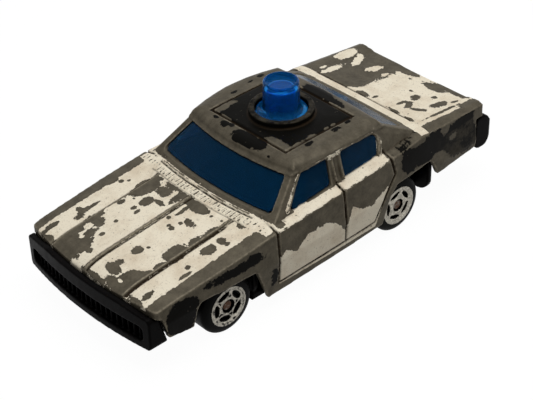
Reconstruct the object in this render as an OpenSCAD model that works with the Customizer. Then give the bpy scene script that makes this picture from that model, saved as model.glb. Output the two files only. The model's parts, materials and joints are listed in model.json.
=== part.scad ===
// Die-cast toy police sedan: a cast shell riveted to a moulded base that carries two sprung axles.
// +X points to the front, +Y to the left side, +Z up; the tyres stand on Z = 0.

/* [Overall] */
// Length over the front and rear bumpers
car_len = 81.2; // [76:0.1:90]
// Width across the doors
car_w = 34.4; // [33:0.2:38]
// Height of the roof panel above the ground
roof_h = 22.9; // [22:0.1:26]
// Wall thickness of the cast shell
wall = 1.0; // [0.8:0.05:1.2]

/* [Bonnet and boot] */
// How far the front bumper stands ahead of the bonnet's edge
front_bumper_proud = 1.3; // [0.8:0.1:2]
// How far the rear bumper stands behind the boot's edge
rear_bumper_proud = 2.5; // [2:0.1:3]
// Length of the bonnet, from its front edge to the windscreen's foot
bonnet_len = 25.8; // [24:0.2:28]
// Height of the bonnet at the windscreen's foot
bonnet_rear_h = 15.8; // [15.2:0.1:16]
// Height that the straight bonnet line would have at its front edge
bonnet_front_h = 13.1; // [12.6:0.1:13.6]
// How far the bonnet's rounded nose drops below that line
nose_drop = 1.1; // [0.6:0.1:1.6]
// Length of the rounded nose
nose_run = 4.5; // [3:0.1:6]
// Distance of the bonnet's side creases from the centre line
crease_y = 9.4; // [8:0.1:10.5]
// Step down at each side crease
crease_step = 0.25; // [0.1:0.05:0.4]
// Width of the raised rib along the bonnet's centre
rib_w = 0.5; // [0.3:0.05:0.8]
// Height of that rib
rib_h = 0.2; // [0.1:0.05:0.3]
// Length of the cabin at its foot, from the windscreen to the rear window
cabin_len = 34.7; // [33:0.1:36]
// Height of the boot lid at the rear window
boot_front_h = 17.9; // [17.5:0.1:18.4]
// Height of the boot lid at its rear edge
boot_rear_h = 15.7; // [15.2:0.1:16.2]
// Distance of the boot lid's side creases from the centre line
boot_crease_y = 11.8; // [10.5:0.1:12.6]
// Distance of the wings' front edges behind the bonnet's edge
wing_back = 2.4; // [2:0.1:3]
// How far the nose's corners are in from the sides
corner_in = 0.8; // [0.5:0.1:1.2]
// Length of the blend from the nose's corners into the sides
corner_run = 0.3; // [0.2:0.1:0.5]
// Distance of the quarters' rear edges ahead of the boot's edge
quarter_ahead = 1.8; // [1.4:0.1:2.2]

/* [Sides] */
// Height of the sill's lower edge behind the front wheel
sill_h = 2.6; // [2.3:0.1:3]
// How much higher the sill is ahead of the rear wheel
sill_rise = 1.3; // [0.4:0.1:1.6]
// How far the sill is tucked in from the widest line
sill_tuck = 0.5; // [0.3:0.1:1]
// Height of the widest line of the sides
waist_h = 9.5; // [8:0.1:11]
// Height of the window sill at the front of the doors
belt_front_h = 15.4; // [15.2:0.1:15.7]
// Height of the window sill at the rear of the doors
belt_rear_h = 16.8; // [16.5:0.1:17]
// Drop of the sloping band below the window sills
band_drop = 0.55; // [0.4:0.05:0.8]
// Drop of the wings' and the boot's rounded shoulders
shoulder_drop = 0.4; // [0.3:0.05:0.6]
// How far the band's lower edge is in from the widest line
band_in = 0.45; // [0.3:0.05:0.7]
// How far the window sill is in from the widest line
belt_in = 1.9; // [1.7:0.1:2.1]
// How far the wing crease is in from the widest line at the windscreen
wing_in = 2.9; // [2.6:0.1:3.2]
// How far the wing crease is in from the widest line at the nose
nose_in = 3.4; // [3:0.1:3.8]
// How far the wing crease lies below the bonnet's centre
wing_fall = 0.6; // [0.4:0.1:1]
// How far the boot's edge is in from the widest line
boot_in = 1.5; // [1.4:0.1:1.9]
// Height of the boot's edge at the rear window
boot_edge_front_h = 17.5; // [17.2:0.1:17.6]
// Height of the boot's edge at the tail
boot_edge_rear_h = 16.4; // [16:0.1:16.6]
// How much narrower each side is at the nose
nose_taper = 0.7; // [0.3:0.1:1]
// How much narrower each side is at the tail
tail_taper = 1.4; // [0.8:0.1:1.8]
// How far the nose bows back between the centre and the corners
nose_bow = 1.45; // [1:0.05:1.8]
// Width of the engraved door and boot lines
groove_w = 0.35; // [0.25:0.05:0.45]
// Depth of the engraved lines
groove_d = 0.3; // [0.2:0.05:0.4]
// Height of the front wheel arches
arch_h = 10.0; // [9.8:0.1:10.4]
// Radius of the arches' corners
arch_r = 1.2; // [0.8:0.1:1.4]
// Lowest edge of the wings ahead of the front wheels
wing_low_h = 5.6; // [5.4:0.1:5.8]
// How much that edge rises to the nose
wing_low_rise = 0.9; // [0.6:0.1:1.2]
// Height of the lip over the grille
lip_h = 10.6; // [10.4:0.1:10.8]
// Lowest edge of the quarters behind the rear wheels
quarter_low_h = 7.3; // [7.1:0.1:7.6]
// How much that edge rises to the tail
quarter_low_rise = 0.9; // [0.6:0.1:1.2]
// Height of the engraved sill line under the front doors
sill_line_h = 4.8; // [4.6:0.1:5.2]
// How much the sill line rises to the rear wheels
sill_line_rise = 0.6; // [0.4:0.1:0.8]
// Distance of the doors' front line behind the windscreen's foot
door_front_back = 0.5; // [0.3:0.1:0.8]
// Distance of the doors' rear foot ahead of the rear axle
door_rear_ahead = 6.7; // [6.4:0.1:7]
// How far the arches keep clear of the wheels' outer faces
arch_lip = 0.25; // [0.2:0.05:0.4]

/* [Cabin] */
// Half width of the roof at its front and rear corners
gutter_y = 12.5; // [11.8:0.1:13]
// Height of the roof's gutter at its front and rear corners
gutter_h = 21.1; // [20.6:0.1:21.4]
// How far the gutter bows out between the corners
side_bow = 1.0; // [0.3:0.1:1.2]
// How far the gutter arches up between the corners
side_arch = 0.9; // [0.3:0.1:1]
// How far the cabin's sides lean in for each millimetre of height
side_lean = 0.48; // [0.4:0.02:0.54]
// How far the windscreen leans back for each millimetre of height
screen_lean = 1.2; // [1.1:0.02:1.3]
// How far the rear window leans forward for each millimetre of height
rear_lean = 1.96; // [1.8:0.02:2.1]
// How far the windscreen bulges forward between its pillars
screen_bulge = 1.6; // [0.8:0.1:2.2]
// How far the rear window bulges back between its pillars
rear_bulge = 0.6; // [0.3:0.1:1]
// Width of the windscreen pillars
pillar_w = 1.3; // [1:0.1:1.6]
// Distance from the front of the cabin's foot to the middle of the door pillar
door_pillar_back = 16; // [15.5:0.1:16.5]
// Width of the pillar between the doors
door_pillar_w = 2.9; // [2.4:0.1:3.4]
// Distance of the front window's lower corner behind the windscreen's foot
belt_front_back = 4.5; // [4:0.1:5]
// Distance of the rear window's lower corner ahead of the boot
belt_rear_ahead = 9.3; // [9:0.1:9.8]
// Distance of the front window's upper corner behind the windscreen's foot
window_front_back = 9.0; // [8.6:0.1:9.6]
// Distance of the side windows' upper edge below the gutter
window_drop = 0.65; // [0.5:0.05:0.8]
// Height of the side windows' lower edge above the crease
window_sill = 0.1; // [0.05:0.05:0.2]
// Radius of the windows' corners
window_r = 0.5; // [0.3:0.1:0.6]
// Height of the end windows' lower edge above the bonnet and the boot
end_low = 0.15; // [0.1:0.05:0.3]
// Distance of the end windows' upper edge below the gutter
end_drop = 0.7; // [0.6:0.05:0.9]
// How far the cabin's foot is sunk in the lower body
foot_sink = 0.8; // [0.6:0.1:1]
// How far the roof rises between its edge and its middle
roof_crown = 0.3; // [0.2:0.05:0.4]
// Width of the roof's rounded edge
roof_edge_run = 2.4; // [2:0.1:2.8]
// Distance from the gutter to the flat middle of the roof
roof_flat_run = 6.6; // [6:0.1:7]
// How far the gutter stands out
gutter_lip = 0.25; // [0.15:0.05:0.3]
// Height of the gutter
gutter_t = 0.5; // [0.4:0.05:0.6]

/* [Roof light] */
// Distance of the light from the windscreen's foot
light_back = 17.1; // [16.8:0.1:17.4]
// Outer diameter of the raised ring
ring_d = 11.3; // [10.6:0.1:12]
// Height of the ring's rim above the ground
ring_h = 24.0; // [23.7:0.1:24.6]
// Diameter of the hole through the ring and the roof
ring_bore = 9.2; // [8.6:0.1:9.6]
// Length of the engraved square round the ring
square_len = 15.6; // [14:0.1:16.5]
// Width of the engraved square
square_w = 18.5; // [15:0.1:19]
// Height of the light's top above the ground
light_h = 29.1; // [28:0.1:31]
// Diameter of the light at its foot
light_foot_d = 6.4; // [6.3:0.1:7]
// Diameter of the light at its top
light_top_d = 6.2; // [5.8:0.1:6.3]
// Depth of the cup in the light's top
light_cup = 0.8; // [0.4:0.1:1.2]
// Wall thickness of the glazing
glass_t = 0.8; // [0.6:0.05:0.9]
// Depth of the raised panes below the casting's outer face
pane_sink = 0.3; // [0.2:0.05:0.5]
// Height of the glazing's lower edge above the bonnet
glass_lift = 0.2; // [0.1:0.05:0.3]
// Depth of the rear window's lower edge below the boot lid
rear_glass_drop = 0.4; // [0.3:0.05:0.5]
// Depth of the light's brim below the ring's rim
brim_sink = 0.5; // [0.3:0.1:0.7]
// Wall thickness of the light
light_wall = 0.8; // [0.6:0.1:1]
// Radius of the flare at the light's foot
light_flare = 1.1; // [0.8:0.1:1.2]
// Width of the rim round the light's cup
light_rim = 0.5; // [0.4:0.05:0.7]

/* [Wheels and axles] */
// Distance from the front bumper to the front axle
front_overhang = 17.3; // [17:0.1:18]
// Distance between the axles
wheelbase = 39.4; // [39:0.1:40]
// Diameter of the tyres
tyre_d = 10.4; // [10:0.1:10.8]
// Width of a wheel
wheel_w = 4.2; // [3.6:0.1:4.6]
// Distance between the outer faces of the two wheels on an axle
track_w = 32; // [31.4:0.1:32.4]
// Diameter of the silvered face of a wheel
face_d = 7.3; // [6.8:0.1:7.6]
// Diameter of the recess in the hub
hub_recess_d = 2.4; // [2.1:0.1:2.8]
// Depth of that recess
hub_recess = 0.8; // [0.7:0.05:1]
// Length of the five slots round the hub
slot_len = 2.2; // [1.6:0.1:2.4]
// Width of those slots
slot_w = 0.6; // [0.4:0.05:0.7]
// Distance of those slots from the wheel's centre
slot_r = 2.3; // [2.2:0.05:2.4]
// Depth of those slots
slot_depth = 0.7; // [0.4:0.1:1]
// Diameter of the steel axles
axle_d = 1.0; // [0.9:0.05:1.1]
// Diameter of the swaged head on each end of an axle
axle_head_d = 1.7; // [1.5:0.05:1.9]
// Thickness of that head
axle_head_t = 0.4; // [0.3:0.05:0.5]
// Upward travel of each axle against its spring
axle_travel = 0.8; // [0.4:0.1:1]
// Bevel on a tyre's inner edge
tyre_bevel = 0.4; // [0.2:0.05:0.6]
// Height of a tyre's rounded outer shoulder
tyre_round = 0.9; // [0.6:0.1:1.2]
// Width of the raised ring round a wheel's face
face_ring_w = 0.6; // [0.4:0.05:0.8]
// Bevel on that ring's outer edge
face_bevel = 0.05; // [0.03:0.01:0.1]
// Width of the slopes on a wheel's face
face_slope = 0.15; // [0.1:0.05:0.2]
// Depth of a tyre's shoulder and a hub's rim below the ring
face_sink = 0.1; // [0.05:0.05:0.15]
// Depth of the disc inside the ring
disc_sink = 0.25; // [0.15:0.05:0.4]
// Width of the rim round the hub's recess
hub_rim_w = 0.3; // [0.2:0.05:0.4]

/* [Base] */
// Height of the base's flat underside above the ground
base_h = 3.0; // [2.8:0.1:3.2]
// Thickness of the base's floor
floor_t = 1.2; // [1:0.05:1.25]
// Thickness of the upright cheeks that guide the axles
cheek_t = 1.2; // [0.9:0.1:1.5]
// Lowest edge of the front bumper
front_bumper_h = 5.0; // [4.6:0.1:5.4]
// Lowest edge of the grille, at the top of the front bumper's lower bar
grille_low_h = 6.4; // [6:0.1:7]
// Highest edge of the grille, at the underside of the upper bar
grille_top_h = 9.2; // [8.6:0.1:9.6]
// Depth of the grille behind the bars
grille_depth = 0.9; // [0.6:0.1:1.2]
// Number of upright ribs in the grille
grille_ribs = 23; // [9:2:31]
// Lowest edge of the rear bumper
rear_bumper_h = 7.2; // [6.8:0.1:7.6]
// Highest edge of the rear bumper
rear_bumper_top_h = 13.5; // [13:0.1:13.8]
// Diameter of the rivet posts cast in the shell
post_d = 3.6; // [3.2:0.1:4]
// Diameter of the rivet tenons that pass through the base
tenon_d = 2.2; // [1.8:0.1:2.4]
// Diameter of the peened rivet heads
rivet_d = 3.4; // [3:0.1:3.6]
// Thickness of the rivet heads
rivet_t = 0.5; // [0.4:0.05:0.6]
// Distance of the front rivet ahead of the front axle
post_front_ahead = 6.0; // [5.8:0.1:6.2]
// Distance of the rear rivet behind the rear axle
post_rear_back = 5.5; // [5.2:0.1:5.8]
// Distance from the front axle to the foot of the front ramp
ramp_front_ahead = 8.5; // [8.2:0.1:9]
// Distance from the rear axle to the foot of the rear ramp
ramp_rear_back = 7.8; // [7.4:0.1:8.2]
// Thickness of the rear ramp at the bumper
ramp_end_t = 0.7; // [0.6:0.05:0.8]
// How far the floor reaches into the rear bumper
floor_lap = 1.0; // [0.8:0.1:1.2]
// Gap between the upper bar and the bonnet's edge
bar_gap = 0.2; // [0.15:0.05:0.3]
// How much lower the upper bar is at its ends
bar_end_drop = 0.8; // [0.5:0.1:1]
// How far the front bumper's ends are in from the sides
fascia_in = 0.7; // [0.5:0.1:1]
// Radius of the bumpers' edges
fascia_r = 0.8; // [0.5:0.1:1]
// How far the front bumper reaches back under the wings
bumper_step = 1.3; // [1.1:0.1:1.5]
// Distance of the grille's ends from the nose's corners
grille_end_in = 1.4; // [1:0.1:1.8]
// Depth of the ribs' faces behind the bars
grille_rib_sink = 0.6; // [0.4:0.05:0.8]
// Thickness of the grille's ribs
grille_rib_t = 0.35; // [0.25:0.05:0.45]
// How far the rear bumper's ends are in from the quarters
rear_bumper_in = 0.1; // [0:0.05:0.3]
// Length of the slopes above and below the rear bumper's face
rear_slope_run = 1.5; // [1.2:0.1:1.8]
// Half height of the rear bumper's face
rear_face_half = 1.3; // [1:0.1:1.6]
// Radius of the rear bumper's corners in plan
rear_corner_r = 0.9; // [0.6:0.1:1.2]
// Height of the recesses in the rear bumper
recess_h = 2.2; // [1.8:0.1:2.4]
// Depth of those recesses
recess_in = 0.4; // [0.2:0.05:0.5]
// Half width of the middle recess
plate_half = 3.6; // [3:0.1:4]
// Distance of the outer recesses from the centre line
lamp_y = 5.2; // [4.8:0.1:5.6]
// Distance of the outer recesses from the bumper's ends
lamp_end_in = 3.3; // [2.8:0.1:3.6]
// Height of the axle guides above the raised axle
guide_over = 0.6; // [0.4:0.1:0.8]
// Half length of the axle guides
guide_half = 2.0; // [1.6:0.1:2.4]
// Thickness of the walls behind the wheels
well_t = 1.0; // [0.8:0.1:1.2]
// Radius of those walls' lower corners
well_r = 2.6; // [2:0.1:3]
// Distance of the front walls' upper edge below the arch
well_drop = 0.6; // [0.4:0.1:0.8]
// How much further back the rear walls stand
rear_well_back = 2.9; // [2.6:0.1:3.2]
// Diameter of the pillars under the cabin floor
pillar_d = 2.4; // [2:0.1:3]
// Distance of those pillars from the centre line
pillar_y = 7.0; // [6.6:0.1:7.2]
// Distance of the front pillars behind the windscreen's foot
front_pillar_back = 4.0; // [3.6:0.1:4.4]
// Distance of the rear pillars behind the windscreen's foot
rear_pillar_back = 15.0; // [14.6:0.1:15.4]

/* [Cabin floor and springs] */
// Height of the cabin floor's underside above the ground
tub_h = 8.6; // [8.4:0.1:9]
// Thickness of the cabin floor and its walls
tub_t = 0.9; // [0.7:0.1:1.1]
// Height of the seat backs above the ground
seat_h = 14.6; // [13.6:0.1:15]
// Width of the leaf springs
leaf_w = 5; // [4:0.1:7]
// Thickness of the leaf springs
leaf_t = 0.6; // [0.5:0.05:0.8]
// How far the cabin floor reaches ahead of the windscreen's foot
tub_front_ahead = 0.6; // [0.4:0.1:0.8]
// Distance of the cabin floor's rear edge ahead of the boot
tub_rear_ahead = 3.0; // [2.6:0.1:3.4]
// Distance of the side rails behind the windscreen's foot
rail_back = 3.0; // [2.8:0.1:3.4]
// Distance of the dashboard's rear edge behind the windscreen's foot
dash_back = 4.0; // [3.6:0.1:4.4]
// Length of the dashboard
dash_len = 3.0; // [2.6:0.1:3.2]
// Depth of the dashboard below the glazing's edge
dash_drop = 1.8; // [1.4:0.1:2.2]
// Distance of the front bench behind the windscreen's foot
front_seat_back = 13.0; // [12.6:0.1:13.4]
// Distance of the rear bench behind the windscreen's foot
rear_seat_back = 25.0; // [24.6:0.1:25.2]
// Distance of the benches from the glazing
seat_gap = 1.5; // [1.2:0.1:2]
// Length of a bench
seat_len = 5.0; // [4.5:0.1:5.5]
// Height of a bench's cushion
cushion_h = 2.0; // [1.6:0.1:2.4]
// How much lower the cushion is at its back
cushion_dip = 0.3; // [0.2:0.1:0.4]
// Thickness of a seat back
back_t = 1.2; // [1:0.1:1.4]
// How far a seat back leans, each way from its foot
back_lean = 0.6; // [0.4:0.1:0.8]
// Distance from an axle to the clamped end of its leaf spring
leaf_reach = 12.0; // [11.6:0.1:12.4]
// Length of a leaf spring's clamped pad
leaf_pad = 3.0; // [2.6:0.1:3.4]
// How far a leaf spring's tip reaches past the axle
leaf_overhang = 0.3; // [0.2:0.1:0.5]

/* [Fits] */
// Radial clearance of an axle in a wheel's bore and in its slot
axle_fit = 0.05; // [0.02:0.01:0.1]
// Radial clearance of the rivet tenons in the base
rivet_fit = 0.05; // [0.02:0.01:0.1]
// Gap between moulded parts and the shell
part_gap = 0.15; // [0.1:0.05:0.25]
// Gap between the leaf springs and what they press on
leaf_gap = 0.05; // [0.03:0.01:0.1]
// Gap round the wheels inside their arches
wheel_gap = 0.6; // [0.4:0.1:0.8]

/* [Hidden] */
$fn = 64;
far = 60;
tiny = 0.01;
past = 0.5;
past_end = 1;
half_w = car_w / 2;

// Length and width that the sizes are drawn for: places along the car follow its length in
// proportion, and places across it move out with its sides
drawn_len = 81.2;
drawn_w = 34.4;
stretch = car_len / drawn_len;
spread = (car_w - drawn_w) / 2;
half_track = track_w / 2 + spread;
roof_y = gutter_y + spread;

// Places along the car
nose_x = car_len / 2 - front_bumper_proud;
tail_x = -car_len / 2 + rear_bumper_proud;
screen_x = nose_x - bonnet_len * stretch;
boot_x = screen_x - cabin_len * stretch;
front_axle_x = car_len / 2 - front_overhang * stretch;
rear_axle_x = front_axle_x - wheelbase * stretch;
axle_h = tyre_d / 2;
light_x = screen_x - light_back * stretch;
cheek_y = half_track - wheel_w - wheel_gap;

// Line through two points, at x
function line_at(x, a, b) = a[1] + (b[1] - a[1]) * (x - a[0]) / (b[0] - a[0]);
function unit(v) = v / norm(v);

// Outline with each corner turned into an arc of radius r
function rounded(pts, r, steps = 4) = [
    for (i = [0 : len(pts) - 1])
        let (n = len(pts), p = pts[i],
             a = unit(pts[(i + n - 1) % n] - p), b = unit(pts[(i + 1) % n] - p),
             half = acos(a * b) / 2, centre = p + unit(a + b) * r / sin(half),
             from = p + a * r / tan(half) - centre, to = p + b * r / tan(half) - centre)
        for (k = [0 : steps]) centre + unit(from * (1 - k / steps) + to * k / steps) * r
];

// Outline with each corner moved in so that its sides lie d inside the old ones
function drawn_in(pts, d) = [
    for (i = [0 : len(pts) - 1])
        let (n = len(pts), p = pts[i],
             a = unit(pts[(i + n - 1) % n] - p), b = unit(pts[(i + 1) % n] - p))
        p + unit(a + b) * d / sin(acos(a * b) / 2)
];

// Height of the bonnet's centre: a straight line that ends in a quarter-ellipse nose
function nose_fall(x) =
    let (u = min(1, max(0, (x - nose_x + nose_run) / nose_run)))
    nose_drop * (1 - sqrt(1 - u * u));
function bonnet_h(x) =
    line_at(x, [screen_x, bonnet_rear_h], [nose_x, bonnet_front_h]) - nose_fall(x);
function crown_h(x) =
    x > screen_x ? bonnet_h(x)
    : lookup(x, [[tail_x, boot_rear_h], [boot_x, boot_front_h], [screen_x, bonnet_rear_h]]);

// The crease that runs from the wing along the window sills to the boot's edge
belt_front_x = screen_x - belt_front_back * stretch;
belt_rear_x = boot_x + belt_rear_ahead * stretch;
function edge_h(x) =
    x > screen_x ? bonnet_h(x) - wing_fall
    : lookup(x, [[tail_x, boot_edge_rear_h], [boot_x, boot_edge_front_h], [belt_rear_x, belt_rear_h],
                 [belt_front_x, belt_front_h], [screen_x, bonnet_rear_h - wing_fall]]);
function edge_in(x) =
    lookup(x, [[boot_x, boot_in], [belt_rear_x, belt_in], [belt_front_x, belt_in],
               [screen_x, wing_in], [nose_x, nose_in]]);

function drop_at(x) =
    lookup(x, [[boot_x, shoulder_drop], [belt_rear_x, band_drop],
               [belt_front_x, band_drop], [screen_x, shoulder_drop]]);

// Plan taper of the sides towards the nose and the tail; little of it is reached at the axles
axle_taper = 1 / 8;
function side_in(x) =
    lookup(x, [[tail_x, tail_taper], [rear_axle_x, tail_taper * axle_taper], [0, 0],
               [front_axle_x, nose_taper * axle_taper], [nose_x, nose_taper]]);
function crease_at(x) = spread + (x > screen_x ? crease_y : boot_crease_y);
function sill_at(x) =
    line_at(x, [front_axle_x, sill_h], [rear_axle_x, sill_h + sill_rise]);

// Half of the lower body's cross-section at x, from the centre line of the top to the sill.
// Each point moves in by inset along its own outward direction. The shares say how much of the fall
// from the centre to the edge is reached at a fold, and how much of an inset slanted corners take.
wing_fold_share = 0.6;
lid_fold_shares = [0.3, 0.6];
slant_share = 0.5;
corner_share = 0.9;
function half_section(x, inset, low) =
    let (top = crown_h(x), rib = x > screen_x ? rib_h : tiny, edge = edge_h(x),
         side = half_w - side_in(x), fold = crease_at(x),
         fall = x > screen_x ? [0, crease_step] + [1, 1] * wing_fold_share * wing_fall
                : lid_fold_shares * (top - edge))
    [[0, top + rib - inset],
     [rib_w / 2, top + rib - inset],
     [rib_w, top - inset],
     [fold - crease_step, top - fall[0] - inset],
     [fold + crease_step, top - fall[1] - inset],
     [side - edge_in(x) - slant_share * inset, edge - corner_share * inset],
     [side - band_in - corner_share * inset, edge - drop_at(x) - slant_share * inset],
     [side - inset, waist_h],
     [side - sill_tuck - inset, low]];

function ring_at(x, half) =
    concat([for (p = half) [x, p[0], p[1]]],
           [for (i = [len(half) - 1 : -1 : 1]) [x, -half[i][0], half[i][1]]]);

// Middle of a ring of points
function middle(ring) = [for (p = ring) 1] * ring / len(ring);

// Solid between rings of equal point count, each end closed by a fan about its middle
module loft(rings) {
    n = len(rings[0]);
    last = len(rings) - 1;
    start = n * len(rings);
    sides = [for (i = [0 : last - 1], j = [0 : n - 1])
             for (f = [[i * n + j, (i + 1) * n + j, i * n + (j + 1) % n],
                       [i * n + (j + 1) % n, (i + 1) * n + j, (i + 1) * n + (j + 1) % n]]) f];
    ends = [for (j = [0 : n - 1])
            for (f = [[start, j, (j + 1) % n],
                      [start + 1, last * n + (j + 1) % n, last * n + j]]) f];
    polyhedron(concat([for (r = rings) each r], [middle(rings[0]), middle(rings[last])]),
               concat(sides, ends));
}

// Stations of the lower body, close together where the nose bends; it runs past the plan at both ends
nose_steps = 6;
arch_half = 5;
station_gap = 0.2;
stations = concat(
    [nose_x + past],
    [for (k = [0 : nose_steps]) nose_x - nose_run * (1 - sin(90 * (1 - k / nose_steps)))],
    [front_axle_x + arch_half, front_axle_x, front_axle_x - arch_half, screen_x, belt_front_x, 0,
     belt_rear_x, (belt_rear_x + boot_x) / 2],
    [for (k = [0 : 2]) boot_x + (tail_x - boot_x) * k / 3],
    [tail_x - past]);
function inner_stations(inset) =
    concat([nose_x - inset],
           [for (x = stations) if (x < nose_x - inset - station_gap && x > tail_x + inset + station_gap) x],
           [tail_x + inset]);

// Lower body, drawn in by inset; low is a flat bottom in place of the sills
module lower_body(inset = 0, low = undef) {
    loft([for (x = inset > 0 ? inner_stations(inset) : stations)
          ring_at(x, half_section(x, inset, is_undef(low) ? sill_at(x) : low))]);
}

// Outline of the cabin at height z, drawn in by inset. Its ends are bowed in plan, its sides bow out
// and arch up towards the gutter, and it stands upright below its foot.
foot_h = bonnet_rear_h - foot_sink;
edge_rise = roof_h - roof_crown - gutter_h;
end_steps = 5;
side_steps = 6;
function hump(t) = 4 * t * (1 - t);
function cabin_y(z) = roof_y + (gutter_h - z) * side_lean;
function cabin_front(z) = screen_x - (z - bonnet_rear_h) * screen_lean * stretch;
function cabin_rear(z) = boot_x + (z - boot_front_h) * rear_lean * stretch;
function cabin_ring(z, inset = 0, rise = side_arch) =
    let (h = min(gutter_h, max(z, foot_h)), y = cabin_y(h) - inset,
         front = cabin_front(h) - inset, rear = cabin_rear(h) + inset,
         full = min(1, max(0, (z - foot_h) / (gutter_h - foot_h))),
         lift = min(full, max(0, 1 - (z - gutter_h) / edge_rise)))
    concat([for (k = [-end_steps : end_steps])
            let (t = k / end_steps) [front - screen_bulge * t * t, y * t, z]],
           cabin_side(front - screen_bulge, rear + rear_bulge, y, z, side_bow * full, rise * lift),
           [for (k = [end_steps : -1 : -end_steps])
            let (t = k / end_steps) [rear + rear_bulge * t * t, y * t, z]],
           cabin_side(rear + rear_bulge, front - screen_bulge, -y, z, -side_bow * full, rise * lift));
function cabin_side(x0, x1, y, z, bow, arch) =
    [for (k = [1 : side_steps - 1])
     let (t = k / side_steps) [x0 + (x1 - x0) * t, y + bow * hump(t), z + arch * hump(t)]];

// Cabin with a rounded roof edge, drawn in by inset; lip is how far the gutter stands out
module cabin(inset = 0, low = foot_h, lip = 0) {
    loft(concat(
        [cabin_ring(low, inset, 0)],
        low < foot_h ? [cabin_ring(foot_h, inset)] : [],
        [cabin_ring(gutter_h - gutter_t - inset, inset)],
        lip > 0 ? [for (z = [-corner_share * gutter_t, 0]) cabin_ring(gutter_h + z, -lip)]
                : [cabin_ring(gutter_h - inset, inset)],
        [for (a = [20 : 14 : 90])
         cabin_ring(gutter_h + edge_rise * sin(a) - inset, inset - lip + roof_edge_run * (1 - cos(a)))],
        [cabin_ring(roof_h - inset, inset + roof_flat_run * stretch)]));
}

// Extrudes a side-view outline of (x, z) points across the car, between two values of y
module across(y0, y1) {
    translate([0, y1, 0]) rotate([90, 0, 0]) linear_extrude(y1 - y0) children();
}

// Extrudes a front-view outline of (y, z) points along the car, between two values of x
module along(x0, x1) {
    translate([x0, 0, 0]) rotate([90, 0, 90]) linear_extrude(x1 - x0) children();
}

// Plan of the nose and the sides, moved out by grow
wing_front_x = nose_x - wing_back;
corner_y = half_w - nose_taper - corner_in;
bow_steps = 8;
side_run = 3;
function nose_edge(y) = nose_x - nose_bow * pow(y / corner_y, 2);
nose_points = [for (k = [-bow_steps : bow_steps]) let (y = corner_y * k / bow_steps) [nose_edge(y), y]];
module plan(grow = 0) {
    side = half_w - nose_taper + grow;
    out = half_w + past_end;
    blend_x = wing_front_x + corner_run;
    full_x = wing_front_x - side_run;
    polygon(concat(
        [for (p = nose_points) p + [grow, 0]],
        [[blend_x, side], [full_x, out], [tail_x, out], [tail_x, -out], [full_x, -out], [blend_x, -side]]));
}

// Wheel arches as (x, z) outlines: their feet lie ahead of and behind the axle, and their corners lie
// ahead of the axle and above the front arch's height
front_arch_feet = [9.2, -9.4];
front_arch_corners = [[6.6, 0], [-5.4, -0.3]];
rear_arch_feet = [5.8, -14];
rear_arch_corners = [[3.1, -0.7], [1.4, 0.8], [-7.6, 1.3]];
function arch(x, feet, corners) =
    concat([[x + feet[0], -past_end]], [for (c = corners) [x, arch_h] + c], [[x + feet[1], -past_end]]);

// Everything that is cut from below: the arches, and what is open under the wings, nose, quarters and tail
quarter_end_x = tail_x + quarter_ahead;
module lower_cuts() {
    wing_x = wing_front_x - bumper_step;
    nose_end = nose_x + past_end;
    tail_end = tail_x - past_end;
    tail_low_h = rear_bumper_top_h + part_gap;
    arch_front_x = front_axle_x + front_arch_corners[0][0] - wheel_gap;
    arch_rear_x = rear_axle_x + rear_arch_corners[2][0] - wheel_gap;
    polygon(rounded(arch(front_axle_x, front_arch_feet, front_arch_corners), arch_r));
    polygon(rounded(arch(rear_axle_x, rear_arch_feet, rear_arch_corners), arch_r));
    polygon([[arch_front_x, -past_end], [arch_front_x, wing_low_h],
             [wing_front_x + past_end, wing_low_h + wing_low_rise], [wing_front_x + past_end, -past_end]]);
    polygon([[arch_rear_x, -past_end], [arch_rear_x, quarter_low_h],
             [tail_end, quarter_low_h + quarter_low_rise], [tail_end, -past_end]]);
    polygon([[wing_x, -past_end], [wing_x, wing_low_h], [wing_front_x, lip_h],
             [nose_end, lip_h], [nose_end, -past_end]]);
    polygon([[quarter_end_x, -past_end], [quarter_end_x, tail_low_h],
             [tail_end, tail_low_h], [tail_end, -past_end]]);
}

// Side windows as (x, z) outlines
door_pillar_x = screen_x - door_pillar_back * stretch;
roof_front_x = cabin_front(gutter_h) - screen_bulge;
roof_rear_x = cabin_rear(gutter_h) + rear_bulge;
function gutter_at(x) = gutter_h + side_arch * hump((roof_front_x - x) / (roof_front_x - roof_rear_x));
function window_top(x) = [x, gutter_at(x) - window_drop];
function window_low(x, belt_x) = [x, edge_h(belt_x) + window_sill];
pillar_slant = 0.3;
rear_cut = [1.4, 0.8];
rear_top_x = belt_rear_x + rear_cut[0] / 3;
front_window = [window_low(belt_front_x, belt_front_x), window_top(screen_x - window_front_back * stretch),
                window_top(door_pillar_x + door_pillar_w / 2),
                window_low(door_pillar_x + door_pillar_w / 2 + pillar_slant, door_pillar_x)];
rear_window = [window_low(door_pillar_x - door_pillar_w / 2 + pillar_slant, door_pillar_x),
               window_top(door_pillar_x - door_pillar_w / 2), window_top(rear_top_x),
               window_top(rear_top_x) - rear_cut, window_low(belt_rear_x, belt_rear_x)];
function end_window(low, top) =
    [[-cabin_y(low) + pillar_w, low], [cabin_y(low) - pillar_w, low],
     [cabin_y(top) - pillar_w, top], [-cabin_y(top) + pillar_w, top]];

// All windows, each outline drawn in by gap
module windows(gap = 0) {
    inner_y = ring_d / 2 + past_end;
    for (y = [inner_y, -far]) across(y, y + far - inner_y) {
        polygon(rounded(drawn_in(front_window, gap), window_r));
        polygon(rounded(drawn_in(rear_window, gap), window_r));
    }
    screen = end_window(bonnet_rear_h + end_low, gutter_h - end_drop);
    back_light = end_window(boot_front_h + end_low, gutter_h - end_drop);
    along(light_x, far) polygon(rounded(drawn_in(screen, gap), window_r));
    along(-far, light_x) polygon(rounded(drawn_in(back_light, gap), window_r));
}

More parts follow.
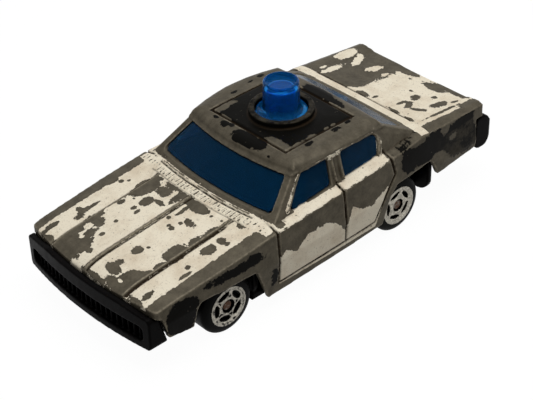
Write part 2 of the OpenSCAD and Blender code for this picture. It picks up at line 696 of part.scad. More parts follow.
// Engraved lines along an open path of (x, z) points
module line_path(pts) {
    for (i = [0 : len(pts) - 2]) {
        d = pts[i + 1] - pts[i];
        translate(pts[i]) rotate(atan2(d[1], d[0])) translate([0, -groove_w / 2])
            square([norm(d), groove_w]);
    }
}

// Door lines: the rear door's rear edge curves up round the arch, and the line between the doors leans
door_front_x = screen_x - door_front_back;
door_rear_x = rear_axle_x + door_rear_ahead;
door_rear_curve = [[-2.2, 5], [-4.8, 8.4]];
door_rear_top = -1.2;
door_split = [0.6, 0.2];
line_start = 0.3;
module door_lines() {
    line_path(concat(
        [[door_front_x, edge_h(door_front_x) - line_start], [door_front_x, sill_line_h],
         [door_rear_x, sill_line_h + sill_line_rise]],
        [for (p = door_rear_curve) [door_rear_x, sill_line_h] + p],
        [[belt_rear_x + door_rear_top, edge_h(belt_rear_x)]]));
    line_path([[door_pillar_x + door_split[0], edge_h(door_pillar_x)],
               [door_pillar_x + door_split[1], sill_line_h + sill_line_rise / 2]]);
}

// Space that a wheel needs over its whole travel, out to y1 on both sides
module wheel_room(x, y1) {
    r = tyre_d / 2 + wheel_gap;
    for (side = [-1, 1]) translate([x, side > 0 ? y1 : -cheek_y, 0]) rotate([90, 0, 0]) {
        for (z = [axle_h, axle_h + axle_travel]) translate([0, z, 0]) cylinder(r = r, h = y1 - cheek_y);
        translate([-r, axle_h, 0]) cube([2 * r, axle_travel, y1 - cheek_y]);
    }
}

// The two rivet posts: places along the car
post_front_x = front_axle_x + post_front_ahead;
post_rear_x = rear_axle_x - post_rear_back;
module rivet_posts() {
    foot = base_h + floor_t;
    for (x = [post_front_x, post_rear_x]) translate([x, 0, 0]) {
        translate([0, 0, foot]) cylinder(d = post_d, h = crown_h(x) - wall / 2 - foot);
        translate([0, 0, base_h + rivet_t]) cylinder(d = tenon_d, h = floor_t);
        translate([0, 0, base_h + tiny]) cylinder(d = rivet_d, h = rivet_t);
    }
}

module body_shell() {
    color("beige") {
        difference() {
            union() {
                intersection() {
                    lower_body();
                    linear_extrude(far) plan();
                }
                cabin(lip = gutter_lip);
                translate([light_x, 0, roof_h - wall]) cylinder(d = ring_d, h = ring_h - roof_h + wall);
            }
            intersection() {
                lower_body(wall, -1);
                translate([quarter_end_x + wall, -far, -far])
                    cube([wing_front_x - quarter_end_x - 2 * wall, 2 * far, 2 * far]);
            }
            cabin(wall, low = tub_h);
            windows();
            across(-far, far) lower_cuts();
            for (x = [front_axle_x, rear_axle_x]) wheel_room(x, half_track + arch_lip);
            translate([light_x, 0, roof_h - 2 * wall]) cylinder(d = ring_bore, h = far);
            difference() {
                across(-far, far) door_lines();
                lower_body(groove_d, -1);
            }
            difference() {
                translate([light_x, 0, gutter_h]) linear_extrude(far) difference() {
                    square([square_len, square_w], center = true);
                    square([square_len - 2 * groove_w, square_w - 2 * groove_w], center = true);
                }
                cabin(groove_d);
            }
        }
        rivet_posts();
    }
}

// Inside half width of the shell at the sill, less the gap that the base keeps from it
function base_y(x) = half_w - sill_tuck - side_in(x) - wall - part_gap;
ramp_front_x = front_axle_x + ramp_front_ahead * stretch;
ramp_rear_x = rear_axle_x - ramp_rear_back * stretch;

// Floor of the base: flat between two ramps that rise to the bumpers, and wide between the axles.
// The rear ramp thins to clear the shell's tail.
module base_floor() {
    under = [[wing_front_x, front_bumper_h], [ramp_front_x, base_h],
             [ramp_rear_x, base_h], [quarter_end_x - floor_lap, rear_bumper_h]];
    thick = [floor_t, floor_t, floor_t, ramp_end_t];
    intersection() {
        across(-far, far) polygon(concat(under, [for (i = [3 : -1 : 0]) under[i] + [0, thick[i]]]));
        linear_extrude(far) union() {
            translate([-far, -cheek_y]) square([2 * far, 2 * cheek_y]);
            polygon([[front_axle_x, base_y(front_axle_x)], [rear_axle_x, base_y(rear_axle_x)],
                     [rear_axle_x, -base_y(rear_axle_x)], [front_axle_x, -base_y(front_axle_x)]]);
        }
    }
}

// Front bumper and grille: the plan of the nose moved forward, cut to the fascia's outline seen from
// the front, with the bonnet's lip left free
bar_top_h = bonnet_h(nose_x) - bar_gap;
bar_end_h = bar_top_h - bar_end_drop;
fascia_y = half_w - nose_taper - fascia_in;
module front_bumper() {
    back = wing_front_x + part_gap;
    difference() {
        intersection() {
            across(-far, far) polygon([
                [back - bumper_step, front_bumper_h], [far, front_bumper_h], [far, bar_top_h],
                [back, bar_top_h], [back, lip_h], [back - bumper_step, wing_low_h]]);
            translate([front_bumper_proud, 0, 0]) linear_extrude(far) plan();
            along(0, far) polygon(rounded([
                [-fascia_y, front_bumper_h], [fascia_y, front_bumper_h], [fascia_y, bar_end_h],
                [crease_at(nose_x), bar_top_h], [-crease_at(nose_x), bar_top_h], [-fascia_y, bar_end_h]],
                fascia_r));
        }
        translate([0, 0, lip_h - part_gap]) linear_extrude(far) plan(part_gap);
        grille_pocket();
    }
}
module grille_pocket() {
    half = corner_y - grille_end_in;
    pitch = 2 * half / grille_ribs;
    difference() {
        along(nose_edge(corner_y) + front_bumper_proud - grille_depth, far)
            polygon(rounded([[-half, grille_low_h], [half, grille_low_h], [half, grille_top_h],
                             [-half, grille_top_h]], fascia_r));
        for (k = [1 : grille_ribs - 1]) {
            y = -half + k * pitch;
            translate([0, y - grille_rib_t / 2, 0])
                cube([nose_edge(y) + front_bumper_proud - grille_rib_sink, grille_rib_t, far]);
        }
    }
}

// Rear bumper: a bulging bar with rounded corners and three shallow recesses for lamps and plate
module rear_bumper() {
    front = quarter_end_x - part_gap;
    rear = -car_len / 2;
    side = half_w - tail_taper - rear_bumper_in;
    mid_h = (rear_bumper_h + rear_bumper_top_h) / 2;
    section = [[front, rear_bumper_h], [rear + rear_slope_run, rear_bumper_h],
               [rear, mid_h - rear_face_half], [rear, mid_h + rear_face_half],
               [rear + rear_slope_run, rear_bumper_top_h], [front, rear_bumper_top_h]];
    lamp_end = side - lamp_end_in;
    difference() {
        intersection() {
            across(-far, far) polygon(rounded(section, fascia_r));
            linear_extrude(far) polygon(rounded(
                [[front + past_end, -side], [front + past_end, side], [rear, side], [rear, -side]],
                rear_corner_r));
            across(-far, far) polygon([[front, 0], [front, far], [-far, far], [-far, 0]]);
        }
        for (span = [[-lamp_end, -lamp_y], [-plate_half, plate_half], [lamp_y, lamp_end]])
            translate([rear - past_end, span[0], mid_h - recess_h / 2])
                cube([past_end + recess_in, span[1] - span[0], recess_h]);
    }
}

// Upright cheeks with open slots that guide the axles, and the walls behind the wheels
module axle_guides(x) {
    top = axle_h + axle_travel + axle_d / 2 + guide_over;
    for (side = [-1, 1]) translate([x - guide_half, side > 0 ? cheek_y - cheek_t : -cheek_y, base_h])
        cube([2 * guide_half, cheek_t, top - base_h]);
}
module axle_slot(x) {
    r = axle_d / 2 + axle_fit;
    translate([x, far, axle_h]) rotate([90, 0, 0]) cylinder(r = r, h = 2 * far);
    translate([x - r, -far, axle_h]) cube([2 * r, 2 * far, far]);
}
module well_wall(x, low, top) {
    inner = cheek_y - cheek_t;
    outer = base_y(x);
    for (side = [0, 1]) mirror([0, side, 0]) along(x, x + well_t) polygon(concat(
        [[inner, top], [inner, low]],
        [for (a = [-90 : 15 : 0]) [outer - well_r + well_r * cos(a), low + well_r + well_r * sin(a)]],
        [[outer, top]]));
}

// Pillars that carry the cabin floor
pillar_xs = [for (back = [front_pillar_back, rear_pillar_back]) screen_x - back * stretch];
pillar_ys = [-pillar_y - spread, pillar_y + spread];
well_back = tyre_d / 2 + wheel_gap + well_t;

module base_plate() {
    color("black") difference() {
        union() {
            difference() {
                base_floor();
                for (x = [front_axle_x, rear_axle_x]) wheel_room(x, far);
            }
            front_bumper();
            rear_bumper();
            for (x = [front_axle_x, rear_axle_x]) axle_guides(x);
            well_wall(front_axle_x - well_back, base_h, arch_h - well_drop);
            well_wall(rear_axle_x - well_back - rear_well_back, base_h, arch_h);
            for (x = pillar_xs, y = pillar_ys)
                translate([x, y, base_h]) cylinder(d = pillar_d, h = tub_h - base_h);
        }
        for (x = [front_axle_x, rear_axle_x]) axle_slot(x);
        for (x = [post_front_x, post_rear_x]) translate([x, 0, 0]) {
            cylinder(r = tenon_d / 2 + rivet_fit, h = far);
            cylinder(r = rivet_d / 2 + rivet_fit, h = base_h + rivet_t + tiny);
        }
    }
}

// Blue glazing, one moulding with the hollow roof light
glass_in = wall + part_gap;
glass_low_h = bonnet_rear_h + glass_lift;
rear_glass_low_h = boot_front_h - rear_glass_drop;
brim_h = ring_h - brim_sink;
module roof_light() {
    foot = light_foot_d / 2;
    top = light_top_d / 2;
    brim = ring_bore / 2 - part_gap;
    translate([light_x, 0, 0]) rotate_extrude() polygon(concat(
        [[0, roof_h - glass_in - glass_t / 2], [brim, roof_h - glass_in - glass_t / 2], [brim, brim_h]],
        [for (a = [0 : 15 : 90]) [foot + light_flare * (1 - sin(a)), brim_h + light_flare * (1 - cos(a))]],
        [[top, light_h - light_rim / 2], [top - light_rim / 2, light_h], [top - light_rim, light_h],
         [top - light_rim, light_h - light_cup], [0, light_h - light_cup]]));
}

// Panes that stand out from the glazing into the windows
module panes() {
    intersection() {
        difference() {
            cabin(pane_sink, low = belt_front_h);
            cabin(glass_in + glass_t / 2, low = belt_front_h - past_end);
        }
        windows(part_gap);
    }
}
module window_insert() {
    color("royalblue") difference() {
        union() {
            difference() {
                cabin(glass_in, low = glass_low_h);
                cabin(glass_in + glass_t, low = glass_low_h - past_end);
                translate([-far, -far, 0]) cube([far + belt_rear_x - past_end, 2 * far, rear_glass_low_h]);
            }
            panes();
            roof_light();
        }
        translate([light_x, 0, 0])
            cylinder(d = light_top_d - 2 * light_wall, h = light_h - light_cup - light_wall);
    }
}

// Cabin floor with side rails under the glazing, a dashboard and two benches. The benches keep clear
// of the glazing's sloping sides at the height of their backs.
tub_front_x = screen_x + tub_front_ahead;
tub_rear_x = boot_x + tub_rear_ahead;
dash_h = glass_low_h - dash_drop;
function inside_y(z) = cabin_y(max(z, glass_low_h)) - glass_in - glass_t;
rail_y = inside_y(glass_low_h);
module bench(x, half) {
    floor_h = tub_h + tub_t / 2;
    across(-half, half) polygon([
        [x + seat_len, floor_h], [x + seat_len, floor_h + cushion_h],
        [x + back_lean, floor_h + cushion_h - cushion_dip], [x - back_lean, seat_h],
        [x - back_lean - back_t, seat_h], [x - back_t, floor_h]]);
}
module cabin_floor() {
    rail_len = screen_x - rail_back - belt_rear_x;
    color("dimgray") difference() {
        union() {
            translate([tub_rear_x, -rail_y, tub_h]) cube([tub_front_x - tub_rear_x, 2 * rail_y, tub_t]);
            for (y = [-rail_y, rail_y - tub_t]) translate([belt_rear_x, y, tub_h])
                cube([rail_len, tub_t, glass_low_h - part_gap - tub_h]);
            translate([screen_x - dash_back, -rail_y, tub_h]) cube([dash_len, 2 * rail_y, dash_h - tub_h]);
            bench(screen_x - front_seat_back * stretch, inside_y(seat_h) - seat_gap);
            bench(screen_x - rear_seat_back * stretch, inside_y(seat_h) - 2 * seat_gap);
        }
        for (x = [front_axle_x, rear_axle_x]) wheel_room(x, far);
    }
}

// A leaf spring: clamped under the cabin floor at one end, resting on the axle at the other
leaf_top_h = tub_h - leaf_gap;
leaf_tip_h = axle_h + axle_d / 2 + leaf_gap;
module leaf_spring(axle_x, towards) {
    tip = axle_d / 2 + leaf_overhang;
    translate([axle_x, 0, 0]) mirror([towards < 0 ? 1 : 0, 0, 0]) across(-leaf_w / 2, leaf_w / 2)
        polygon([[leaf_reach, leaf_top_h], [leaf_reach - leaf_pad, leaf_top_h], [tip, leaf_tip_h + leaf_t],
                 [-tip, leaf_tip_h + leaf_t], [-tip, leaf_tip_h], [tip, leaf_tip_h],
                 [leaf_reach - leaf_pad, leaf_top_h - leaf_t], [leaf_reach, leaf_top_h - leaf_t]]);
}
module front_leaf_spring() { color("dimgray") leaf_spring(front_axle_x, -1); }
module rear_leaf_spring() { color("dimgray") leaf_spring(rear_axle_x, 1); }

// Steel axle with a swaged head in each hub
module axle(x) {
    seat = half_track - hub_recess + axle_fit;
    end = seat + axle_head_t;
    color("silver") translate([x, end, axle_h]) rotate([90, 0, 0]) union() {
        cylinder(d = axle_d, h = 2 * end);
        for (z = [0, 2 * end - axle_head_t]) translate([0, 0, z])
            cylinder(d = axle_head_d, h = axle_head_t);
    }
}
module front_axle() { axle(front_axle_x); }
module rear_axle() { axle(rear_axle_x); }

// One-piece wheel, outer face at z = 0: rounded tyre, silvered face with five slots, recessed hub
slots = 5;
module wheel_body() {
    tyre = tyre_d / 2;
    face = face_d / 2;
    bore = axle_d / 2 + axle_fit;
    hub = hub_recess_d / 2;
    shoulder = tyre - face - face_slope;
    ring = face - face_ring_w;
    rim = hub + hub_rim_w;
    difference() {
        rotate_extrude() polygon(concat(
            [[bore, -wheel_w], [tyre - tyre_bevel, -wheel_w], [tyre, -wheel_w + tyre_bevel]],
            [for (a = [0 : 15 : 90])
             [tyre - shoulder * (1 - cos(a)), -face_sink - tyre_round * (1 - sin(a))]],
            [[face, -face_sink], [face - face_bevel, 0], [ring, 0], [ring - face_slope, -disc_sink],
             [rim + face_slope, -disc_sink], [rim, -face_sink], [hub, -face_sink],
             [hub, -hub_recess], [bore, -hub_recess]]));
        for (k = [0 : slots - 1]) rotate(k * 360 / slots)
            translate([slot_r - slot_w / 2, -slot_len / 2, -disc_sink - slot_depth])
                cube([slot_w, slot_len, past_end + slot_depth]);
    }
}
module wheel(x, side) {
    color("darkgray") translate([x, side * half_track, axle_h]) rotate([-90 * side, 0, 0]) wheel_body();
}
module front_left_wheel() { wheel(front_axle_x, 1); }
module front_right_wheel() { wheel(front_axle_x, -1); }
module rear_left_wheel() { wheel(rear_axle_x, 1); }
module rear_right_wheel() { wheel(rear_axle_x, -1); }

body_shell();
base_plate();
window_insert();
cabin_floor();
front_leaf_spring();
rear_leaf_spring();
front_axle();
rear_axle();
front_left_wheel();
front_right_wheel();
rear_left_wheel();
rear_right_wheel();
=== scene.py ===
"""Dresses the toy police car: soft cast edges, worn two-colour paint, blue glazing and foiled wheels."""
import json
import math

import bmesh
import bpy
import numpy as np
from bpy.props import FloatProperty, IntProperty, PointerProperty, StringProperty
from mathutils import Matrix, Vector


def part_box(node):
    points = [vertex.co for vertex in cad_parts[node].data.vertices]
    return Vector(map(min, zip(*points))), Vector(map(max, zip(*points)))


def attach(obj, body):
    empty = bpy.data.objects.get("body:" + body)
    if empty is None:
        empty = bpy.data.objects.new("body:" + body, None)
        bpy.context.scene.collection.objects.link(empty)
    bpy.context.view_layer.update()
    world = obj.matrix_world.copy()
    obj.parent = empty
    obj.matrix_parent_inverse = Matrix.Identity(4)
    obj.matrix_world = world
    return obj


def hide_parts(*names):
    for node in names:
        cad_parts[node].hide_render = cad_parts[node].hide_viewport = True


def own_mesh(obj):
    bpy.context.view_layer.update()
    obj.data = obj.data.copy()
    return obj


bl_info = {
    "name": "Toy police car",
    "version": (1, 0, 0),
    "blender": (4, 5, 0),
    "location": "View3D > Sidebar > Toy car",
    "description": "Builds the finishes of a worn die-cast toy police car around its solids",
    "category": "Object",
}

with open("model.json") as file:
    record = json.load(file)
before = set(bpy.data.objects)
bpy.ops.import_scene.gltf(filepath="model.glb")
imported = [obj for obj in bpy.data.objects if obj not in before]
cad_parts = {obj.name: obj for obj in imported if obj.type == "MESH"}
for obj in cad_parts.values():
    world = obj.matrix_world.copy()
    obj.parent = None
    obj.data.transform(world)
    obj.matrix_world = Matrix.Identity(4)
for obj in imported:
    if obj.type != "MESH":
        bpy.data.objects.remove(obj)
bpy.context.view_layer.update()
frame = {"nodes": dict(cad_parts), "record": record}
MM = 0.001
FAR = 99.0
WHITE = (1, 1, 1, 1)

# Places on the casting, in millimetres in the car's frame
NOSE_X = 39.3
SCREEN_X = 13.5
BOOT_X = -21.2
DOOR_FRONT_X = 13.0
GUTTER_H = 21.0
ROOF_EDGE_H = 21.8
SILL_LINE_H = 4.8
BAND_DROP = 0.7
RING_X = -3.6
RING_R = 5.85
RING_TOP = 23.85
FOLD_Y = 9.4
WING_EDGE_Y = 14.1
BOOT_EDGE_Y = 14.0
RIB_HALF = 0.3
CABIN_SIDE_Y = 11.5
SCREEN_BOW = 1.6
SCREEN_HALF = 15.0
FAR_SIDE_SHIFT = 2.5
LID_LINE_X = -23.2
# Line inside the car from which the inner faces are told: its height, and its end behind the nose
SPINE_H = 11.0
SPINE_SHORT = 12
# Cowl ahead of the windscreen's foot: bright bead, dark slot, louvres and the bonnet's rear line
BEAD_AT = 0.85
BEAD_HALF = 0.2
SLOT_AT = 1.3
LOUVRES = (1.75, 3.05)
LOUVRE_PITCH = 0.85
COWL_LEN = 3.3
COWL_HALF = 10.6
# Fold along each side of the bonnet: a crest with a groove beside it
CREST_IN = 0.3
CREST_HALF = 0.25
CREST_SHARE = 0.5
GROOVE_OUT = 0.25
GROOVE_HALF = 0.22
# Window trim: its middle, its half width and the reach of the paint on it
TRIM_AT = 0.1
TRIM_HALF = 0.3
TRIM_REACH = 0.45
# Half widths of the engraved lines, and the depth of the shallower ones beside the others'
LINE_HALF = {"slot": 0.16, "bonnet": 0.14, "lid": 0.16, "door": 0.2, "fold": 0.13, "roof": 0.18}
LINE_SHARE = {"bonnet": 0.6, "fold": 0.8}
# How far the lines across the car pass the cowl's ends, and where a line lies beside the bonnet's rib
LINE_REACH = 1
RIB_LINE = 0.15
# How far up the casting faces where it takes lines and relief, and the relief's reach under the shoulder
LINE_FACING = 0.6
RELIEF_FACING = 0.7
RELIEF_BELOW = 0.4
# How far the cabin, bonnet and boot stop short of the lines between them or pass them
CABIN_ABOVE = 0.15
LID_BELOW = 0.3
FOOT_BEHIND = 1
# Sprayed edges: the cream's drop under the shoulder and sharpness, and the black's spread past the square
CREAM_DROP = 0.35
CREAM_EDGE = 1.5
SQUARE_SPREAD = 0.2
# Where the black of the rear quarters is rubbed grey
DULL_X = -25.0
DULL_LEN = 5
DULL_H = 14.5
# Bend of the surface, in millimetres, beyond which an edge is rubbed and brightened as polish with a
# painted highlight, and a groove holds dirt darkened as painted shade, and how fast
EDGE_BEND = 0.004
EDGE_WEAR = 40
EDGE_WEAR_MOST = 0.7
EDGE_POLISH_AND_HIGHLIGHT = 90
GROOVE_GRIME_AND_SHADE = 120
# How far the paint is gone, in millimetres from a flake's edge
WHOLE = -0.9
CHIPPED = -0.3
RUBBED = 0.25
BARE = 0.9
# Wear gained for each millimetre towards the bonnet's rib, its folds, the outer edges and the door tops
RIB_SLOPE = 2
FOLD_SLOPE = 1.8
EDGE_SLOPE = 1.5
TEAR_SLOPE = 0.8
# Stretch in which the bare rib widens towards the nose
RIB_SPREAD_X = 32
RIB_SPREAD_LEN = 7
# Bare strips behind the cowl's bead and under the sill line, and the share of chipping on the window trim
STRIP_BARE = 0.3
TRIM_WEAR = 0.4
# Wheel face, in millimetres
WHEEL_SLOTS = 5
SLOT_R = 2.3
SLOT_HALF = 1.2
SLOT_THIN = 0.26
SLOT_WORN = 0.4
HUB_R = 1.2
FACE_R = 3.65
FACE_DEPTH = 0.36
# Ridges that hold their foil, as (place, half width): round a slot in slot sizes, at the hub and at the rim
SLOT_RIDGE = (1.2, 0.3)
HUB_RIDGE = (HUB_R + 0.25, 0.25)
RIM_RIDGE = (FACE_R - 0.2, 0.3)
# Foil on a new face, what wear takes from it and leaves on the ridges, and the value of none
FOIL_NEW = 0.85
FOIL_LOST = 0.8
FOIL_HELD = 0.5
FOIL_NONE = -0.5
MOULDED_PASSES = 2
ROUNDED_PASSES = 3
CABIN_COARSER = 1.5
# Height over which the glazing turns into the roof light, and its colour from painted shade to painted
# light
LIGHT_RISE = 2
# Studio: places and sizes in metres, the side card's share of the key light, and the glow of the floor
SOFTBOX_AT = (-0.02, 0.05, 0.42)
SOFTBOX_SIZE = 0.34
CARD_AT = (-0.12, 0.36, 0.16)
CARD_SIZE = 0.22
CARD_SHARE = 0.04
FLOOR_HALF = 3.0
FLOOR_GLOW = 1.1
FLOOR_GLOW_SHARE = 0.88
SENSOR_MM = 36
CLIP_START = 0.01

# Trim that stands proud: drip rail over the side windows as (along, out, up), and the door pillar's ribs
DRIP_RAIL = [(5.6, 12.75, 20.95), (1.5, 13.35, 21.55), (-3.0, 13.6, 21.9), (-8.0, 13.5, 21.8),
             (-12.4, 13.1, 21.45)]
RAIL_R = 0.26
PILLAR_RIBS = (-3.4, -1.7)
RIB_ENDS = ((0.1, 15.2, 17.0), (0.0, 13.7, 20.9))
# The crease from the wing along the window sills to the boot's edge, as (x, height)
SHOULDER = [(-39.5, 14.6), (-35.5, 16.4), (-21.2, 17.5), (-11.9, 16.8), (9.0, 15.4), (13.5, 15.2),
            (34.8, 12.9), (39.3, 11.4)]
# Rear edge of the rear door, as (height, x)
DOOR_REAR = [(4.0, -9.4), (9.8, -11.6), (13.2, -14.2), (17.4, -13.1)]
# Lower edge of the bare stretch on the doors, as (x, height)
DOOR_TEAR = [(-14.0, 12.5), (-10.9, 11.1), (-8.2, 9.7), (-6.0, 10.2), (-3.7, 11.9), (-2.4, 8.8),
             (-1.8, 8.1), (0.6, 10.8), (2.9, 11.6), (6.9, 11.4), (9.3, 9.5), (11.7, 10.9), (12.8, 10.0)]
# Engraved lines that hold dirt and painted shade: round the roof's ring in plan, and round the doors as (x,
# height)
ROOF_SQUARE = [(4.2, -9.25), (4.2, 9.25), (-11.4, 9.25), (-11.4, -9.25), (4.2, -9.25)]
DOOR_LINES = [[(13.0, 15.0), (13.0, 4.8), (-9.4, 5.4), (-11.6, 9.8), (-14.2, 13.2), (-13.1, 17.4)],
              [(-1.9, 16.8), (-2.3, 5.1)]]
# Bright trim up the windscreen pillar, over the side windows and down behind them, as (x, height)
TRIM_LINES = [[(9.2, 16.2), (4.7, 20.4), (1.0, 21.0), (-4.0, 21.3), (-11.4, 20.9), (-12.9, 19.4),
               (-12.3, 17.4)]]

# Flakes and spared islands of paint: place along and across, or along and up on the sides, half length,
# half width and, where one is turned, its turn in degrees
BONNET_BARE = [
    (38.5, -6.2, 0.9, 3.2), (37.2, -7.6, 2.4, 2.0), (36.4, -5.0, 2.2, 1.9), (34.0, -8.5, 2.6, 1.1),
    (33.6, -5.8, 1.5, 0.9), (31.0, -7.9, 1.4, 1.9), (29.7, -8.8, 1.4, 0.9), (36.3, -2.4, 0.7, 0.6),
    (34.0, -4.5, 0.3, 0.3), (32.4, -4.1, 0.5, 0.5), (28.9, -5.0, 0.4, 0.35), (25.0, -8.4, 0.7, 0.5),
    (24.8, -5.4, 0.5, 0.5), (25.2, -4.1, 0.7, 0.45), (23.2, -7.4, 0.25, 0.3), (22.4, -5.0, 1.3, 1.2),
    (21.3, -3.1, 0.5, 1.2), (20.0, -8.2, 3.0, 1.9), (22.2, -8.9, 1.8, 0.7), (18.9, -4.6, 1.1, 1.5),
    (17.8, -8.0, 1.1, 1.5), (17.2, -4.5, 0.5, 2.6), (18.4, -1.5, 1.7, 0.8), (17.9, 0.2, 1.1, 1.1),
    (17.9, 2.7, 1.2, 2.6), (19.8, 1.6, 1.5, 0.4), (22.8, 1.1, 0.4, 0.4), (24.0, 2.6, 0.4, 0.3),
    (24.1, 3.6, 0.5, 0.5), (21.4, 4.8, 0.7, 1.4), (22.4, 3.7, 0.4, 0.5), (38.9, 2.6, 0.4, 3.0),
    (38.1, 6.8, 1.0, 2.8), (36.1, 7.8, 2.3, 2.0), (34.4, 8.6, 1.7, 1.0), (36.3, 3.7, 1.0, 1.7),
    (34.7, 3.4, 0.7, 0.7), (31.2, 3.4, 1.0, 1.0), (29.5, 4.2, 0.3, 0.35), (31.0, 8.9, 1.4, 0.6),
    (27.4, 8.4, 2.4, 1.4), (23.6, 8.8, 1.5, 0.8), (20.8, 9.0, 1.9, 0.6), (17.9, 6.1, 0.3, 0.25),
    (17.5, 8.2, 0.3, 0.3), (23.3, 11.7, 1.4, 1.1), (20.6, 11.6, 0.8, 0.9), (20.4, 12.8, 0.5, 0.6),
    (28.1, 12.2, 0.5, 0.4), (16.2, 11.4, 0.6, 0.9), (36.3, 12.4, 1.0, 0.6), (38.3, 11.7, 0.6, 1.5),
    (29.8, 13.4, 1.5, 0.4), (30.2, -11.6, 1.4, 0.6), (31.8, -11.0, 1.0, 0.6), (28.4, -11.6, 1.4, 0.4),
    (30.8, -12.6, 0.5, 0.7), (22.4, -14.1, 1.1, 0.5), (21.5, -12.9, 0.45, 0.4), (20.5, -12.1, 0.3, 0.3),
    (25.0, -14.2, 0.5, 0.3), (38.4, -10.8, 0.8, 1.2), (36.6, -12.7, 1.7, 0.5), (17.0, -14.5, 1.4, 0.5),
]
BONNET_KEPT = [
    (32.5, -7.6, 0.9, 0.9), (34.9, -6.2, 0.4, 0.4), (17.5, -6.6, 0.45, 0.8), (37.2, 6.6, 0.3, 0.6),
]
BOOT_BARE = [
    (-30.0, -9.0, 8.6, 6.4), (-27.0, -9.5, 4.6, 6.6), (-34.6, -9.0, 4.4, 6.4), (-36.4, -12.4, 2.6, 2.6),
    (-25.2, -5.2, 2.0, 2.4), (-37.2, -4.0, 1.6, 4.6), (-23.8, -0.6, 0.7, 1.3), (-24.8, 1.7, 0.7, 0.35),
    (-27.4, 7.4, 1.4, 0.6, 23), (-26.6, 6.1, 0.8, 0.35), (-27.7, 6.5, 0.5, 0.6),
    (-27.4, 9.7, 1.5, 0.5, -51), (-30.5, 6.1, 1.2, 0.8, 15), (-31.8, 3.9, 0.3, 0.4),
    (-31.7, 10.6, 1.9, 0.8, -10), (-33.2, 8.2, 0.6, 0.5), (-36.2, 5.4, 1.2, 2.6), (-37.4, 8.2, 0.7, 4.6),
    (-34.8, 11.6, 0.8, 0.4), (-36.2, 13.8, 2.4, 0.9), (-23.6, 7.2, 0.4, 1.4), (-23.4, 11.0, 0.4, 1.1),
    (-30.2, 12.8, 5.0, 0.3),
]
BOOT_KEPT = [
    (-25.5, -12.5, 0.9, 0.4), (-26.6, -10.9, 3.2, 0.75), (-32.6, -13.6, 2.7, 1.3),
    (-33.0, -10.7, 2.7, 0.9, 27), (-32.8, -6.4, 2.3, 0.9, -7), (-32.6, -3.5, 0.9, 0.5),
    (-35.3, -2.2, 0.5, 1.2), (-38.2, 0.0, 0.4, 3.5),
]
ROOF_BLACK = [
    (5.9, 1.2, 2.3, 2.7), (5.2, 4.0, 1.5, 1.8), (5.3, -4.4, 0.8, 0.8), (4.8, -3.2, 0.6, 0.6),
    (5.0, -6.9, 0.3, 0.6), (-0.2, 10.1, 0.8, 0.6), (-6.5, 10.1, 0.9, 0.6), (-9.4, 9.8, 0.7, 0.4),
    (-12.4, -0.4, 2.0, 3.6), (-12.0, 3.4, 1.2, 2.6), (-2.4, -10.7, 0.7, 0.3), (-6.9, -11.4, 0.8, 0.3),
    (-9.4, -11.7, 0.6, 0.5), (6.4, 7.5, 0.35, 0.3),
]
ROOF_BARE = [
    (2.0, -8.3, 2.3, 0.8), (4.0, -5.9, 0.3, 1.6), (3.3, 6.8, 1.0, 2.7), (1.4, 9.0, 1.6, 0.45),
    (-1.9, 8.9, 0.9, 0.4), (-5.5, 8.9, 0.6, 0.3), (-7.0, 8.8, 0.6, 0.3), (-11.6, 5.2, 0.3, 1.4),
]
WING_BLACK = [
    (22.2, 12.2, 5.8, 0.9), (33.4, 8.9, 3.1, 3.3), (31.4, 10.9, 2.0, 1.2, 25), (14.0, 6.6, 0.8, 1.8),
    (18.4, 12.4, 1.8, 1.1),
]
QUARTER_BLACK = [(-23.6, 14.2, 9.4, 3.0, 8), (-33.0, 12.6, 5.6, 4.0), (-18.2, 14.4, 2.6, 2.8)]
QUARTER_BARE = [
    (-25.4, 10.6, 2.4, 1.6), (-20.6, 16.8, 2.6, 0.9), (-27.5, 15.9, 1.4, 1.2), (-36.6, 14.4, 1.3, 1.8),
    (-15.0, 15.2, 0.9, 2.4), (-29.6, 13.4, 1.0, 0.7),
]


def length_setting(name, description, mm):
    """A length, given in millimetres"""
    return FloatProperty(name=name, description=description, default=mm * MM, unit="LENGTH", precision=5)


class CastingSettings(bpy.types.PropertyGroup):
    """Sizes of the cast shell's surface"""
    grain: length_setting("Surface grain", "Edge of the cells that the castings are drawn with", 0.16)
    moulded_grain: length_setting("Moulding grain", "Edge of the cells that mouldings are drawn with", 0.16)
    soften: IntProperty(
        name="Softening passes", description="Rounds of smoothing that give the edges their radius",
        default=3, min=0, max=30)
    kept_share: FloatProperty(
        name="Kept share", description="Share of the shell's faces left after its inside is thinned",
        default=0.6, subtype="FACTOR", min=0.1, max=1)
    rib: length_setting("Bonnet rib", "Height of the rib along the bonnet", 0.16)
    fold: length_setting("Bonnet folds", "Depth of the line beside each bonnet fold", 0.2)
    louvre: length_setting("Cowl louvres", "Height of the cowl's louvres", 0.05)
    line: length_setting("Engraved lines", "Depth that the door, roof and cowl lines gain", 0.2)
    trim: length_setting("Window trim", "Height of the trim round the side windows", 0.14)


